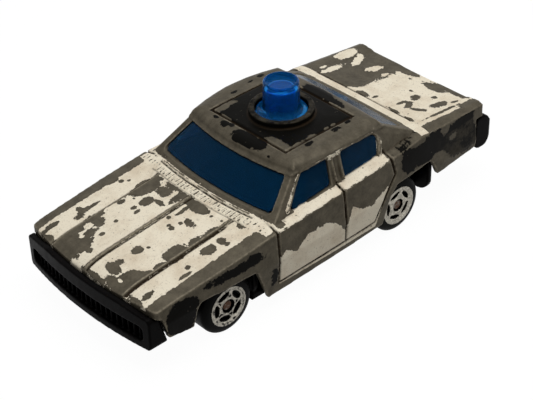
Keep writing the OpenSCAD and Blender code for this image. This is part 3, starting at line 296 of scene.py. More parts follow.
class FinishSettings(bpy.types.PropertyGroup):
    """Colours of the finishes, as sRGB hex values"""
    cream: StringProperty(name="Cream paint", description="Enamel on the bonnet, doors and boot",
                          default="#F2E8D2")
    black: StringProperty(name="Black paint", description="Enamel on the roof, wings and quarters",
                          default="#070604")
    zinc: StringProperty(name="Bare zinc", description="Zinc alloy where the paint is gone",
                         default="#585246")
    # The dirt colour, darkened tenfold in the grooves and engraved lines, also serves there as painted
    # shade
    dirt: StringProperty(name="Dirt", description="Brown dirt in grooves, specks and scratches",
                         default="#6E573B")
    base: StringProperty(name="Base plastic", description="Black moulded base", default="#040303")
    # Window blue and light blue colour one moulding: the window blue is darkened as painted shade of the
    # cabin behind, the light blue brightened as painted light
    glass: StringProperty(name="Window blue", description="Glazing over the dark cabin", default="#145078")
    beacon: StringProperty(name="Light blue", description="Roof light", default="#2496EA")
    tyre: StringProperty(name="Wheel plastic", description="Black moulded wheels", default="#040403")
    foil: StringProperty(name="Hot foil", description="Silver foil on the wheel faces", default="#D6D0C2")
    rust: StringProperty(name="Rust", description="Rust on the axle ends", default="#4A2C14")
    steel: StringProperty(name="Axle steel", description="Drawn steel between the rust", default="#6E6A62")
    cabin: StringProperty(name="Cabin plastic", description="Moulded cabin floor", default="#17181A")
    spring: StringProperty(name="Spring plastic", description="Moulded leaf springs", default="#C9C4B8")


class WheelSettings(bpy.types.PropertyGroup):
    """Sizes and wear of the wheels"""
    front_wear: FloatProperty(
        name="Front foil wear", description="Share of foil gone from the front wheels",
        default=0.7, subtype="FACTOR", min=0, max=1)
    rear_wear: FloatProperty(
        name="Rear foil wear", description="Share of foil gone from the rear wheels",
        default=0.3, subtype="FACTOR", min=0, max=1)
    grain: length_setting("Wheel grain", "Edge of the cells that the wheels are drawn with", 0.12)


class StageSettings(bpy.types.PropertyGroup):
    """Camera and lights of the studio"""
    azimuth: FloatProperty(
        name="Azimuth", description="Direction of the camera round the car",
        default=math.radians(138.3912), subtype="ANGLE")
    elevation: FloatProperty(
        name="Elevation", description="Height of the camera above the ground plane",
        default=math.radians(35.4645), subtype="ANGLE")
    roll: FloatProperty(
        name="Roll", description="Turn of the camera about its own axis",
        default=math.radians(-1.6895), subtype="ANGLE")
    distance: length_setting("Distance", "Camera to aim point", 259.2553)
    lens: FloatProperty(name="Lens", description="Focal length on a 36 mm wide sensor", default=100.67)
    aim_x: length_setting("Aim ahead", "Aim point ahead of the car's middle", 0.406)
    aim_z: length_setting("Aim height", "Aim point above the ground", 6.5013)
    key: FloatProperty(
        name="Key light", description="Power of the overhead softbox", default=1.4, unit="POWER")
    fill: FloatProperty(name="Fill light", description="Strength of the surrounding light", default=0.18)
    paper: StringProperty(name="Floor paper", description="Pale paper under the car", default="#A8A8A8")


def linear(hex_colour, factor=1.0):
    """Linear RGBA of an sRGB hex value, made darker or lighter by a factor"""
    channels = [int(hex_colour[i:i + 2], 16) / 255 for i in (1, 3, 5)]
    light = [c / 12.92 if c <= 0.04045 else ((c + 0.055) / 1.055) ** 2.4 for c in channels]
    return [min(1.0, c * factor) for c in light] + [1.0]


def cells(size_mm):
    """Texture scale at which one cell of a pattern is size_mm wide"""
    return 1 / (size_mm * MM)


def add(tree, kind, inputs, out=None, **settings):
    """Adds a shader node with its settings and inputs, and gives the output that is asked for or in use"""
    node = tree.nodes.new("ShaderNode" + kind)
    for key, value in settings.items():
        setattr(node, key, value)
    for key, value in inputs.items():
        named = [socket for socket in node.inputs if socket.enabled and socket.name == key]
        socket = named[0] if named else node.inputs[key]
        if isinstance(value, bpy.types.NodeSocket):
            tree.links.new(value, socket)
        else:
            socket.default_value = value
    return node.outputs[out] if out else next((socket for socket in node.outputs if socket.enabled), None)


def new_tree(name):
    """A node material with an empty tree, and the place of each point on its object"""
    made = bpy.data.materials.new(name)
    made.use_nodes = True
    made.node_tree.nodes.clear()
    return made, made.node_tree, add(made.node_tree, "TexCoord", {}, "Object")


def surface(tree, height, depth_mm, inputs):
    """Ends a material: a principled shader with a relief of depth_mm"""
    normal = add(tree, "Bump", {"Height": height, "Distance": depth_mm * MM})
    shader = add(tree, "BsdfPrincipled", {"Normal": normal, **inputs})
    add(tree, "OutputMaterial", {"Surface": shader})


def painted_casting(finish):
    """Die-cast zinc under sprayed enamel: paint that breaks off in flakes and leaves dull mottled metal"""
    made, tree, at = new_tree("sprayed enamel on die-cast zinc")
    kept = {name: add(tree, "Attribute", {}, "Fac", attribute_name=name)
            for name in ("wear", "livery", "edge", "grime_and_shade", "dulled")}
    lumps = add(tree, "TexNoise",
                {"Vector": at, "Scale": cells(1.3), "Detail": 5.0, "Roughness": 0.68, "Distortion": 0.5})
    fine = add(tree, "TexNoise", {"Vector": at, "Scale": cells(0.4), "Detail": 2.0})
    stain = add(tree, "TexNoise", {"Vector": at, "Scale": cells(5.0), "Detail": 5.0, "Roughness": 0.65})
    specks = add(tree, "TexNoise", {"Vector": at, "Scale": cells(0.3), "Detail": 3.0, "Roughness": 0.75})
    chips = add(tree, "TexNoise", {"Vector": at, "Scale": cells(0.55), "Detail": 1.0})
    mottle = add(tree, "TexNoise", {"Vector": at, "Scale": cells(2.2), "Detail": 7.0, "Roughness": 0.75})
    scuffs = add(tree, "TexNoise",
                 {"Vector": at, "Scale": cells(1.0), "Detail": 3.0, "Roughness": 0.6, "Distortion": 3.0})

    # Flakes: the stored wear, with edges torn by two sizes of noise
    torn = add(tree, "MapRange", {"Value": lumps, "To Min": -1.0, "To Max": 0.64})
    torn = add(tree, "Math", {0: fine, 1: 0.4, 2: torn}, operation="MULTIPLY_ADD")
    worn = add(tree, "Math", {0: kept["wear"], 1: torn}, operation="ADD")
    nicked = add(tree, "Math", {0: chips, 1: 0.77}, operation="SUBTRACT")
    worn_through = add(tree, "Math", {0: worn, 1: nicked}, operation="MAXIMUM")
    bare = add(tree, "MapRange", {"Value": worn_through, "From Min": -0.02, "From Max": 0.02})

    # Cream: stained and speckled with dirt; black: a little greyer where it is rubbed
    stained = add(tree, "MapRange", {"Value": stain, "From Min": 0.45, "From Max": 0.75, "To Max": 0.4})
    cream = add(tree, "Mix", {"Factor": stained, "A": linear(finish.cream), "B": linear(finish.dirt, 2.5)},
                data_type="RGBA")
    gritty = add(tree, "MapRange", {"Value": specks, "From Min": 0.6, "From Max": 0.75, "To Max": 0.6})
    cream = add(tree, "Mix", {"Factor": gritty, "A": cream, "B": linear(finish.dirt)}, data_type="RGBA")
    scratched = add(tree, "MapRange", {"Value": scuffs, "From Min": 0.6, "From Max": 0.7, "To Max": 0.4})
    cream = add(tree, "Mix", {"Factor": scratched, "A": cream, "B": linear(finish.dirt)}, data_type="RGBA")
    faded = add(tree, "MapRange", {"Value": mottle, "From Min": 0.42, "From Max": 0.56})
    faded = add(tree, "Math", {0: faded, 1: kept["dulled"]}, operation="MULTIPLY")
    black = add(tree, "Mix", {"Factor": faded, "A": linear(finish.black), "B": linear(finish.zinc, 0.4)},
                data_type="RGBA")
    sprayed = add(tree, "Math", {0: torn, 1: 0.12, 2: kept["livery"]}, operation="MULTIPLY_ADD")
    sprayed = add(tree, "MapRange", {"Value": sprayed, "From Min": 0.46, "From Max": 0.52})
    paint = add(tree, "Mix", {"Factor": sprayed, "A": black, "B": cream}, data_type="RGBA")

    # Zinc: cloudy and pitted, with a painted shadow of the paint film at a flake's rim, and brighter on
    # rubbed edges as polish with a painted highlight
    cloudy = add(tree, "MapRange", {"Value": mottle, "From Min": 0.3, "From Max": 0.7})
    zinc = add(tree, "Mix",
               {"Factor": cloudy, "A": linear(finish.zinc, 0.62), "B": linear(finish.zinc, 1.35)},
               data_type="RGBA")
    pitted = add(tree, "MapRange", {"Value": specks, "From Min": 0.58, "From Max": 0.7, "To Max": 0.55})
    zinc = add(tree, "Mix", {"Factor": pitted, "A": zinc, "B": linear(finish.zinc, 0.35)}, data_type="RGBA")
    # Painted shadow of the paint film's edge: the zinc darkened just beside a flake's rim
    rim = add(tree, "MapRange", {"Value": worn, "From Min": 0.16, "From Max": 0.02, "To Max": 0.7})
    zinc = add(tree, "Mix", {"Factor": rim, "A": zinc, "B": linear(finish.zinc, 0.4)}, data_type="RGBA")
    # Rubbed edges brightened: polish from wear with a painted highlight on the sharp edges
    rubbed = add(tree, "MapRange", {"Value": fine, "From Min": 0.3, "From Max": 0.6})
    rubbed = add(tree, "Math", {0: rubbed, 1: kept["edge"]}, operation="MULTIPLY")
    zinc = add(tree, "Mix", {"Factor": rubbed, "A": zinc, "B": linear(finish.zinc, 2.4)}, data_type="RGBA")

    # Dirt caked in the grooves of both, darkened to near black as painted shade in the grooves and engraved
    # lines, and the thickness of the paint as relief
    caked_and_shaded = add(tree, "MapRange", {"Value": fine, "From Min": 0.15, "From Max": 0.5, "To Min": 0.5})
    caked_and_shaded = add(tree, "Math", {0: caked_and_shaded, 1: kept["grime_and_shade"]}, operation="MULTIPLY")
    coat = add(tree, "Mix", {"Factor": bare, "A": paint, "B": zinc}, data_type="RGBA")
    colour = add(tree, "Mix", {"Factor": caked_and_shaded, "A": coat, "B": linear(finish.dirt, 0.1)}, data_type="RGBA")
    gloss = add(tree, "MapRange",
                {"Value": stain, "From Min": 0.3, "From Max": 0.7, "To Min": 0.36, "To Max": 0.54})
    metal = add(tree, "Math", {0: bare, 1: 0.2}, operation="MULTIPLY")
    film = add(tree, "Math", {0: fine, 1: 0.3}, operation="MULTIPLY")
    film = add(tree, "Math", {0: film, 1: bare}, operation="SUBTRACT")
    surface(tree, film, 0.06,
            {"Base Color": colour, "Roughness": gloss, "Metallic": metal, "Specular IOR Level": 0.03})
    return made


def moulded_black(finish):
    """Polystyrene moulded in a polished die: deep black with dust and fine rubbing"""
    made, tree, at = new_tree("moulded black polystyrene")
    rub = add(tree, "TexNoise", {"Vector": at, "Scale": cells(2.5), "Detail": 5.0, "Roughness": 0.65})
    dust = add(tree, "TexNoise", {"Vector": at, "Scale": cells(0.35), "Detail": 2.0})
    rubbed = add(tree, "MapRange", {"Value": rub, "From Min": 0.5, "From Max": 0.8, "To Max": 0.8})
    colour = add(tree, "Mix", {"Factor": rubbed, "A": linear(finish.base), "B": linear(finish.base, 2.5)},
                 data_type="RGBA")
    dusty = add(tree, "MapRange", {"Value": dust, "From Min": 0.66, "From Max": 0.76, "To Max": 0.2})
    colour = add(tree, "Mix", {"Factor": dusty, "A": colour, "B": linear(finish.dirt, 0.4)},
                 data_type="RGBA")
    gloss = add(tree, "MapRange",
                {"Value": rub, "From Min": 0.3, "From Max": 0.7, "To Min": 0.28, "To Max": 0.46})
    surface(tree, rub, 0.02, {"Base Color": colour, "Roughness": gloss, "Specular IOR Level": 0.02})
    return made


def clear_blue(finish):
    """Clear tinted polystyrene, one moulding in two colours: darker on the windows as painted shade of the
    cabin behind, brighter in the roof light as painted light
    """
    made, tree, at = new_tree("clear blue polystyrene")
    rub = add(tree, "TexNoise", {"Vector": at, "Scale": cells(1.6), "Detail": 4.0, "Roughness": 0.6})
    beacon_painted_lit = add(tree, "Attribute", {}, "Fac", attribute_name="beacon_painted_lit")
    rubbed = add(tree, "MapRange", {"Value": rub, "From Min": 0.4, "From Max": 0.75})
    # Painted shade on the windows, painted light in the roof light
    tint_and_painted_light = add(tree, "Mix", {"Factor": beacon_painted_lit, "A": linear(finish.glass), "B": linear(finish.beacon)},
               data_type="RGBA")
    dull = add(tree, "Mix",
               {"Factor": beacon_painted_lit, "A": linear(finish.glass, 0.7), "B": linear(finish.beacon, 0.6)},
               data_type="RGBA")
    colour = add(tree, "Mix", {"Factor": rubbed, "A": tint_and_painted_light, "B": dull}, data_type="RGBA")
    gloss = add(tree, "MapRange",
                {"Value": rub, "From Min": 0.35, "From Max": 0.75, "To Min": 0.05, "To Max": 0.18})
    clear = add(tree, "MapRange", {"Value": beacon_painted_lit, "To Min": 0.75, "To Max": 0.85})
    surface(tree, rub, 0.03,
            {"Base Color": colour, "Roughness": gloss, "Transmission Weight": clear, "IOR": 1.18,
             "Specular IOR Level": 0.3, "Specular Tint": tint_and_painted_light})
    return made


def foiled_wheel(finish):
    """Moulded wheel with silver foil stamped on its face: bright where it holds, black where it is gone"""
    made, tree, at = new_tree("hot-foiled moulded wheel")
    held = add(tree, "Attribute", {}, "Fac", attribute_name="foil")
    flake = add(tree, "TexNoise", {"Vector": at, "Scale": cells(0.6), "Detail": 5.0, "Roughness": 0.7})
    crease = add(tree, "TexNoise", {"Vector": at, "Scale": cells(0.4), "Detail": 3.0})
    rub = add(tree, "TexNoise", {"Vector": at, "Scale": cells(1.8), "Detail": 4.0, "Roughness": 0.6})
    cover = add(tree, "Math", {0: held, 1: flake}, operation="SUBTRACT")
    cover = add(tree, "MapRange", {"Value": cover, "From Min": -0.05, "From Max": 0.05})
    worn = add(tree, "MapRange", {"Value": rub, "From Min": 0.5, "From Max": 0.8})
    plastic = add(tree, "Mix", {"Factor": worn, "A": linear(finish.tyre), "B": linear(finish.tyre, 2.6)},
                  data_type="RGBA")
    creased = add(tree, "MapRange", {"Value": crease, "From Min": 0.35, "From Max": 0.65})
    foil = add(tree, "Mix", {"Factor": creased, "A": linear(finish.foil, 0.5), "B": linear(finish.foil)},
               data_type="RGBA")
    colour = add(tree, "Mix", {"Factor": cover, "A": plastic, "B": foil}, data_type="RGBA")
    metal = add(tree, "Math", {0: cover, 1: 0.35}, operation="MULTIPLY")
    gloss = add(tree, "MapRange",
                {"Value": rub, "From Min": 0.3, "From Max": 0.7, "To Min": 0.38, "To Max": 0.54})
    surface(tree, cover, 0.02,
            {"Base Color": colour, "Roughness": gloss, "Metallic": metal, "Specular IOR Level": 0.03})
    return made


def rusted_steel(finish):
    """Drawn steel pin: grey along its length, brown rust on the swaged heads"""
    made, tree, at = new_tree("drawn steel with rust")
    spots = add(tree, "TexNoise", {"Vector": at, "Scale": cells(0.5), "Detail": 4.0, "Roughness": 0.65})
    rusty = add(tree, "MapRange", {"Value": spots, "From Min": 0.36, "From Max": 0.52})
    colour = add(tree, "Mix", {"Factor": rusty, "A": linear(finish.steel), "B": linear(finish.rust)},
                 data_type="RGBA")
    metal = add(tree, "MapRange", {"Value": rusty, "To Min": 0.8, "To Max": 0.1})
    gloss = add(tree, "MapRange", {"Value": rusty, "To Min": 0.35, "To Max": 0.75})
    surface(tree, spots, 0.02, {"Base Color": colour, "Roughness": gloss, "Metallic": metal})
    return made


def plain_moulding(name, hex_colour, grain_mm):
    """Matt moulded plastic with a fine spark-eroded grain and a little dust"""
    made, tree, at = new_tree(name)
    rub = add(tree, "TexNoise", {"Vector": at, "Scale": cells(3.0), "Detail": 4.0, "Roughness": 0.6})
    grain = add(tree, "TexNoise", {"Vector": at, "Scale": cells(grain_mm), "Detail": 2.0})
    rubbed = add(tree, "MapRange", {"Value": rub, "From Min": 0.35, "From Max": 0.7})
    colour = add(tree, "Mix", {"Factor": rubbed, "A": linear(hex_colour), "B": linear(hex_colour, 0.7)},
                 data_type="RGBA")
    gloss = add(tree, "MapRange",
                {"Value": rub, "From Min": 0.3, "From Max": 0.7, "To Min": 0.45, "To Max": 0.62})
    surface(tree, grain, 0.015, {"Base Color": colour, "Roughness": gloss})
    return made


def rod_solid(bm, start, end, radius, sides=10):
    """Adds a closed round rod, in millimetres, between two points"""
    a, b = Vector(start), Vector(end)
    turn = (b - a).to_track_quat("Z", "Y").to_matrix().to_4x4()
    bmesh.ops.create_cone(bm, cap_ends=True, segments=sides, radius1=radius, radius2=radius,
                          depth=(b - a).length, matrix=Matrix.Translation((a + b) / 2) @ turn)


def applied(mesh, steps, hidden=None):
    """Mesh after modifiers, each given as its kind and settings; hidden points make a group of that name"""
    obj = bpy.data.objects.new(mesh.name, mesh)
    bpy.context.scene.collection.objects.link(obj)
    if hidden is not None:
        obj.vertex_groups.new(name="hidden").add(np.flatnonzero(hidden).tolist(), 1.0, "REPLACE")
    for kind, settings in steps:
        modifier = obj.modifiers.new(kind, kind)
        for key, value in settings.items():
            setattr(modifier, key, value)
    bpy.context.view_layer.update()
    made = bpy.data.meshes.new_from_object(obj.evaluated_get(bpy.context.evaluated_depsgraph_get()))
    bpy.data.objects.remove(obj)
    bpy.data.meshes.remove(mesh)
    return made


def soft_copy(node, grain, passes, details=None):
    """Copy of a solid in millimetres, drawn in small even cells with rounded edges"""
    bm = bmesh.new()
    bm.from_mesh(frame["nodes"][node].data)
    bmesh.ops.scale(bm, vec=(1 / MM,) * 3, verts=bm.verts)
    if details:
        details(bm)
    mesh = bpy.data.meshes.new(node)
    bm.to_mesh(mesh)
    bm.free()
    cell = grain / MM * 1
    return applied(mesh, [("REMESH", {"mode": "VOXEL", "voxel_size": cell}),
                          ("SMOOTH", {"factor": 0.5, "iterations": passes})])


def points(mesh):
    """Points of a mesh as an array"""
    co = np.empty(len(mesh.vertices) * 3, np.float32)
    mesh.vertices.foreach_get("co", co)
    return co.reshape(-1, 3).astype(float)


def normals(mesh):
    """Point normals of a mesh as an array"""
    n = np.empty(len(mesh.vertices) * 3, np.float32)
    mesh.vertex_normals.foreach_get("vector", n)
    return n.reshape(-1, 3).astype(float)


def bending(mesh, rounds=2):
    """How much an even mesh bends at each point: over 0 on ridges, under 0 in grooves"""
    co = points(mesh)
    pairs = np.empty(len(mesh.edges) * 2, np.int32)
    mesh.edges.foreach_get("vertices", pairs)
    a, b = pairs.reshape(-1, 2).T
    count = np.maximum(np.bincount(np.concatenate([a, b]), minlength=len(co)), 1)

    def around(values):
        total = np.bincount(a, values[b], len(co)) + np.bincount(b, values[a], len(co))
        return total / count

    mean = np.stack([around(axis) for axis in co.T], 1)
    bend = np.einsum("ij,ij->i", co - mean, normals(mesh))
    for _ in range(rounds):
        bend = around(bend)
    return bend


def bell(value, middle, width):
    """1 at the middle of a soft bump, near 0 two widths away"""
    return np.exp(-((value - middle) / width) ** 2)


def within(value, low, high):
    """Where a value lies between two limits"""
    return (value > low) & (value < high)


def on_line(at, line):
    """Height of a line of (place, height) points"""
    places, heights = zip(*sorted(line))
    return np.interp(at, places, heights)


def patch_field(along, across, patches, thin=0.7, thick=2.0):
    """How deep each place lies in the nearest patch, in millimetres: under 0 outside"""
    field = np.full(len(along), -FAR)
    for x, y, length, width, *turn in patches:
        angle = math.radians(turn[0]) if turn else 0.0
        c, s = math.cos(angle), math.sin(angle)
        u = ((along - x) * c + (across - y) * s) / length
        v = (-(along - x) * s + (across - y) * c) / width
        depth = (1 - np.sqrt(u * u + v * v)) * min(thick, max(thin, min(length, width)))
        field = np.maximum(field, depth)
    return field


def line_gap(along, up, corners):
    """Distance of each place from a line through corners"""
    gap = np.full(len(along), FAR)
    for (x0, z0), (x1, z1) in zip(corners, corners[1:]):
        dx, dz = x1 - x0, z1 - z0
        t = np.clip(((along - x0) * dx + (up - z0) * dz) / (dx * dx + dz * dz), 0, 1)
        gap = np.minimum(gap, np.hypot(along - x0 - t * dx, up - z0 - t * dz))
    return gap


def side_gap(co, lines):
    """Distance of each place on the car's sides from the nearest of some lines in side view"""
    x, y, z = co.T
    gap = np.minimum.reduce([line_gap(x, z, line) for line in lines])
    return np.where(np.abs(y) > CABIN_SIDE_Y, gap, FAR)


def square_gap(co):
    """Distance of each place on the roof from the engraved square"""
    x, y, z = co.T
    return np.where(z > GUTTER_H, line_gap(x, y, ROOF_SQUARE), FAR)


def cowl_place(co):
    """Distance ahead of the windscreen's bowed foot"""
    x, y, _ = co.T
    return x - SCREEN_X + SCREEN_BOW * (y / SCREEN_HALF) ** 2


def regions(co):
    """Cabin, bonnet with its cowl, boot, wings and doors: the first that holds a place is its region"""
    x, _, z = co.T
    ahead = cowl_place(co)
    shoulder = on_line(x, SHOULDER)
    return [(z > shoulder + CABIN_ABOVE) & (ahead < 0) & (x > BOOT_X),
            (z > shoulder - LID_BELOW) & (ahead > -FOOT_BEHIND),
            (z > shoulder - LID_BELOW) & (x < BOOT_X),
            x > DOOR_FRONT_X,
            x > on_line(z, DOOR_REAR)]


def lines_of(co, n):
    """How far each place lies in an engraved line of the cowl, doors, roof or boot, from 0 to 1"""
    x, y, _ = co.T
    side = np.abs(y)
    ahead = cowl_place(co)
    top = (n[:, 2] > LINE_FACING) & (side < COWL_HALF + LINE_REACH)
    slot = bell(ahead, SLOT_AT, LINE_HALF["slot"])
    rear = LINE_SHARE["bonnet"] * bell(ahead, COWL_LEN, LINE_HALF["bonnet"])
    cowl = np.where(top & (x > 0), np.maximum(slot, rear), 0)
    lid = np.where(top & (x < 0), bell(x, LID_LINE_X, LINE_HALF["lid"]), 0)
    doors = bell(side_gap(co, DOOR_LINES), 0, LINE_HALF["door"])
    folds, rib = (bell(side, at, LINE_HALF["fold"]) for at in (FOLD_Y, RIB_HALF + RIB_LINE))
    bonnet = np.where(top & (ahead > COWL_LEN), LINE_SHARE["fold"] * np.maximum(folds, rib), 0)
    roof = bell(square_gap(co), 0, LINE_HALF["roof"])
    return np.maximum.reduce([cowl, bonnet, lid, doors, roof])


def relief_of(co, n, sizes):
    """Fine relief of the casting, in millimetres: bonnet rib and folds, cowl louvres, lines and trim"""
    x, y, z = co.T
    side = np.abs(y)
    ahead = cowl_place(co)
    top = (n[:, 2] > RELIEF_FACING) & (z > on_line(x, SHOULDER) - RELIEF_BELOW)
    rib = sizes.rib * bell(y, 0, RIB_HALF)
    crest = CREST_SHARE * bell(side, FOLD_Y - CREST_IN, CREST_HALF)
    fold = sizes.fold * (crest - bell(side, FOLD_Y + GROOVE_OUT, GROOVE_HALF))
    louvres = sizes.louvre * np.cos(2 * np.pi * y / LOUVRE_PITCH) * within(ahead, *LOUVRES)
    bead = sizes.trim * bell(ahead, BEAD_AT, BEAD_HALF)
    relief = np.where(top & (ahead > COWL_LEN), rib + fold, 0)
    relief += np.where(top & within(ahead, 0, COWL_LEN) & (side < COWL_HALF), louvres + bead, 0)
    relief += sizes.trim * bell(side_gap(co, TRIM_LINES), TRIM_AT, TRIM_HALF)
    return (relief - sizes.line * lines_of(co, n)) / MM


def livery_of(co):
    """Where the cream paint was sprayed, 1, and the black, 0, with a sharp edge at 0.5"""
    x, _, z = co.T
    cabin, _, _, wing, door = regions(co)
    above = np.clip(0.5 + (z - on_line(x, SHOULDER) + CREAM_DROP) * CREAM_EDGE, 0, 1)
    trimmed = side_gap(co, TRIM_LINES) < TRIM_REACH
    quarter = np.where(x < BOOT_X, above, 0)
    return np.select([cabin & trimmed, cabin, wing, door], [1.0, 0.0, above, 1.0], quarter)


def roof_paint(co):
    """How deep each place lies in the black left on the roof: in and round the engraved square"""
    x, y, z = co.T
    xs, ys = zip(*ROOF_SQUARE)
    inside = np.minimum(np.minimum(x - min(xs), max(xs) - x), np.minimum(y - min(ys), max(ys) - y))
    paint = np.maximum(np.clip(inside + SQUARE_SPREAD, -FAR, BARE), patch_field(x, y, ROOF_BLACK))
    paint = np.minimum(paint, -patch_field(x, y, ROOF_BARE))
    ring = np.hypot(x - RING_X, y) < RING_R
    paint = np.where(ring, BARE, paint)
    return np.where(z > ROOF_EDGE_H, paint, WHOLE)


def wear_of(co, bend):
    """How far the paint is gone, in millimetres from a flake's edge: over 0 bare metal, under 0 painted"""
    x, y, z = co.T
    side = np.abs(y)
    ahead = cowl_place(co)
    shoulder = on_line(x, SHOULDER)
    shifted = x + np.where(y < 0, FAR_SIDE_SHIFT, 0)

    spread = np.clip((x - RIB_SPREAD_X) / RIB_SPREAD_LEN, 0, 1)
    rib = (RIB_HALF + RIB_HALF * spread - side) * RIB_SLOPE
    folds = RUBBED - np.abs(side - FOLD_Y + CREST_IN) * FOLD_SLOPE
    edges = (side - WING_EDGE_Y) * EDGE_SLOPE
    bonnet = np.maximum.reduce([patch_field(x, y, BONNET_BARE), rib, folds, edges])
    bonnet = np.minimum(bonnet, -patch_field(x, y, BONNET_KEPT))
    louvres = CHIPPED + RUBBED * np.cos(2 * np.pi * y / LOUVRE_PITCH) * within(ahead, *LOUVRES)
    cowl = np.where(ahead < BEAD_AT - STRIP_BARE, RUBBED, louvres)
    bonnet = np.where(ahead < COWL_LEN, cowl, bonnet)

    boot = np.maximum(patch_field(x, y, BOOT_BARE), (side - BOOT_EDGE_Y) * EDGE_SLOPE)
    boot = np.minimum(boot, -patch_field(x, y, BOOT_KEPT))
    boot = np.where(x > LID_LINE_X, np.minimum(boot, CHIPPED), boot)

    roof = np.where(side_gap(co, TRIM_LINES) < TRIM_REACH, TRIM_WEAR * CHIPPED, -roof_paint(co))
    wing = -patch_field(shifted, z, WING_BLACK)
    door = np.clip((z - on_line(shifted, DOOR_TEAR)) * TEAR_SLOPE, WHOLE, BARE)
    door = np.where(z > shoulder - BAND_DROP, CHIPPED, door)
    door = np.where(z < SILL_LINE_H - STRIP_BARE, BARE, door)
    quarter = np.maximum(-patch_field(shifted, z, QUARTER_BLACK), patch_field(shifted, z, QUARTER_BARE))

    wear = np.select(regions(co), [roof, bonnet, boot, wing, door], quarter)
    rubbed = np.clip((bend - EDGE_BEND) * EDGE_WEAR, 0, EDGE_WEAR_MOST)
    return np.clip(wear, WHOLE, BARE) + rubbed


def dulled_of(co):
    """Where black paint is rubbed grey, from 0 to 1: low on the rear quarters and on the roof's ring"""
    x, _, z = co.T
    quarter = np.clip((DULL_X - x) / DULL_LEN, 0, 1) * (z < DULL_H)
    return np.where(z > RING_TOP, 1, quarter)


def store(mesh, name, values):
    """Keeps one value for each point of a mesh"""
    mesh.attributes.new(name, "FLOAT", "POINT").data.foreach_set("value", values.astype(np.float32))


def shell_trim(bm):
    """Trim that stands proud of the casting on both sides: drip rails and door pillar ribs"""
    for side in (-1, 1):
        rail = [(x, side * out, h) for x, out, h in DRIP_RAIL]
        ribs = [[(x + dx, side * out, h) for dx, out, h in RIB_ENDS] for x in PILLAR_RIBS]
        for path in [rail, *ribs]:
            for start, end in zip(path, path[1:]):
                rod_solid(bm, start, end, RAIL_R)


def foil_of(mesh, node, sign, wear):
    """How much foil a wheel's face kept: most round its slots, hub and rim, none in the slots"""
    low, high = (np.array(corner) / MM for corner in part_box(node))
    middle = (low + high) / 2
    face = high[1] if sign > 0 else low[1]
    co = points(mesh)
    along, up = co[:, 0] - middle[0], co[:, 2] - middle[2]
    r = np.hypot(along, up)
    pitch = 2 * np.pi / WHEEL_SLOTS
    off = (np.arctan2(up, along) + pitch / 2) % pitch - pitch / 2
    thin = SLOT_THIN + SLOT_WORN * wear
    lens = np.hypot(r * np.sin(off) / SLOT_HALF, (r * np.cos(off) - SLOT_R) / thin)
    shown = within(r, HUB_R, FACE_R) & ((face - co[:, 1]) * sign < FACE_DEPTH)
    ridges = bell(lens, *SLOT_RIDGE) + bell(r, *HUB_RIDGE) + bell(r, *RIM_RIDGE)
    held = FOIL_NEW - FOIL_LOST * wear + FOIL_HELD * wear * ridges
    return np.where(shown & (lens > 1), held, FOIL_NONE)


def place(mesh, name, node, made):
    """Puts a mesh made in millimetres into the car as a piece that stands for a node"""
    mesh.transform(Matrix.Scale(MM, 4))
    mesh.polygons.foreach_set("use_smooth", np.ones(len(mesh.polygons), bool))
    mesh.name = name
    mesh.materials.clear()
    mesh.materials.append(made)
    obj = bpy.data.objects.new(name, mesh)
    bpy.context.scene.collection.objects.link(obj)
    bodies = frame["record"]["behaviour"]["bodies"]
    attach(obj, next(body for body, members in bodies.items() if node in members))
    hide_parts(node)
    return obj


class TOYCAR_OT_shell(bpy.types.Operator):
    """Casts the shell with soft edges and sprays and wears its paint"""
    bl_idname = "toycar.shell"
    bl_label = "Cast shell"

    def execute(self, context):
        sizes = context.scene.toycar_casting
        mesh = soft_copy("body_shell", sizes.grain, sizes.soften, shell_trim)
        co, n = points(mesh), normals(mesh)
        lines = lines_of(co, n)
        co += n * relief_of(co, n, sizes)[:, None]
        mesh.vertices.foreach_set("co", co.ravel().astype(np.float32))
        mesh.update()
        bend = bending(mesh)
        store(mesh, "wear", wear_of(co, bend))
        store(mesh, "livery", livery_of(co))
        # Sharp edges, brightened on the zinc as polish with a painted highlight
        store(mesh, "edge", np.clip((bend - EDGE_BEND) * EDGE_POLISH_AND_HIGHLIGHT, 0, 1))
        # Grooves and engraved lines, darkened as dirt with painted shade
        store(mesh, "grime_and_shade", np.clip(np.maximum((-bend - EDGE_BEND) * GROOVE_GRIME_AND_SHADE, lines), 0, 1))
        store(mesh, "dulled", dulled_of(co))
        along = np.clip(co[:, 0], BOOT_X, NOSE_X - SPINE_SHORT)
        spine = np.stack([along, np.zeros(len(co)), np.full(len(co), SPINE_H)], 1)
        inside = np.einsum("ij,ij->i", n, co - spine) < 0
        mesh = applied(mesh, [("DECIMATE", {"ratio": sizes.kept_share, "vertex_group": "hidden"})], inside)
        made = painted_casting(context.scene.toycar_finish)
        place(mesh, "cast_shell", "body_shell", made)
        return {"FINISHED"}


class TOYCAR_OT_base(bpy.types.Operator):
    """Moulds the base with its bumpers, grille and wheel wells"""
    bl_idname = "toycar.base"
    bl_label = "Moulded base"

    def execute(self, context):
        mesh = soft_copy("base_plate", context.scene.toycar_casting.moulded_grain, MOULDED_PASSES)
        made = moulded_black(context.scene.toycar_finish)
        place(mesh, "moulded_base", "base_plate", made)
        return {"FINISHED"}


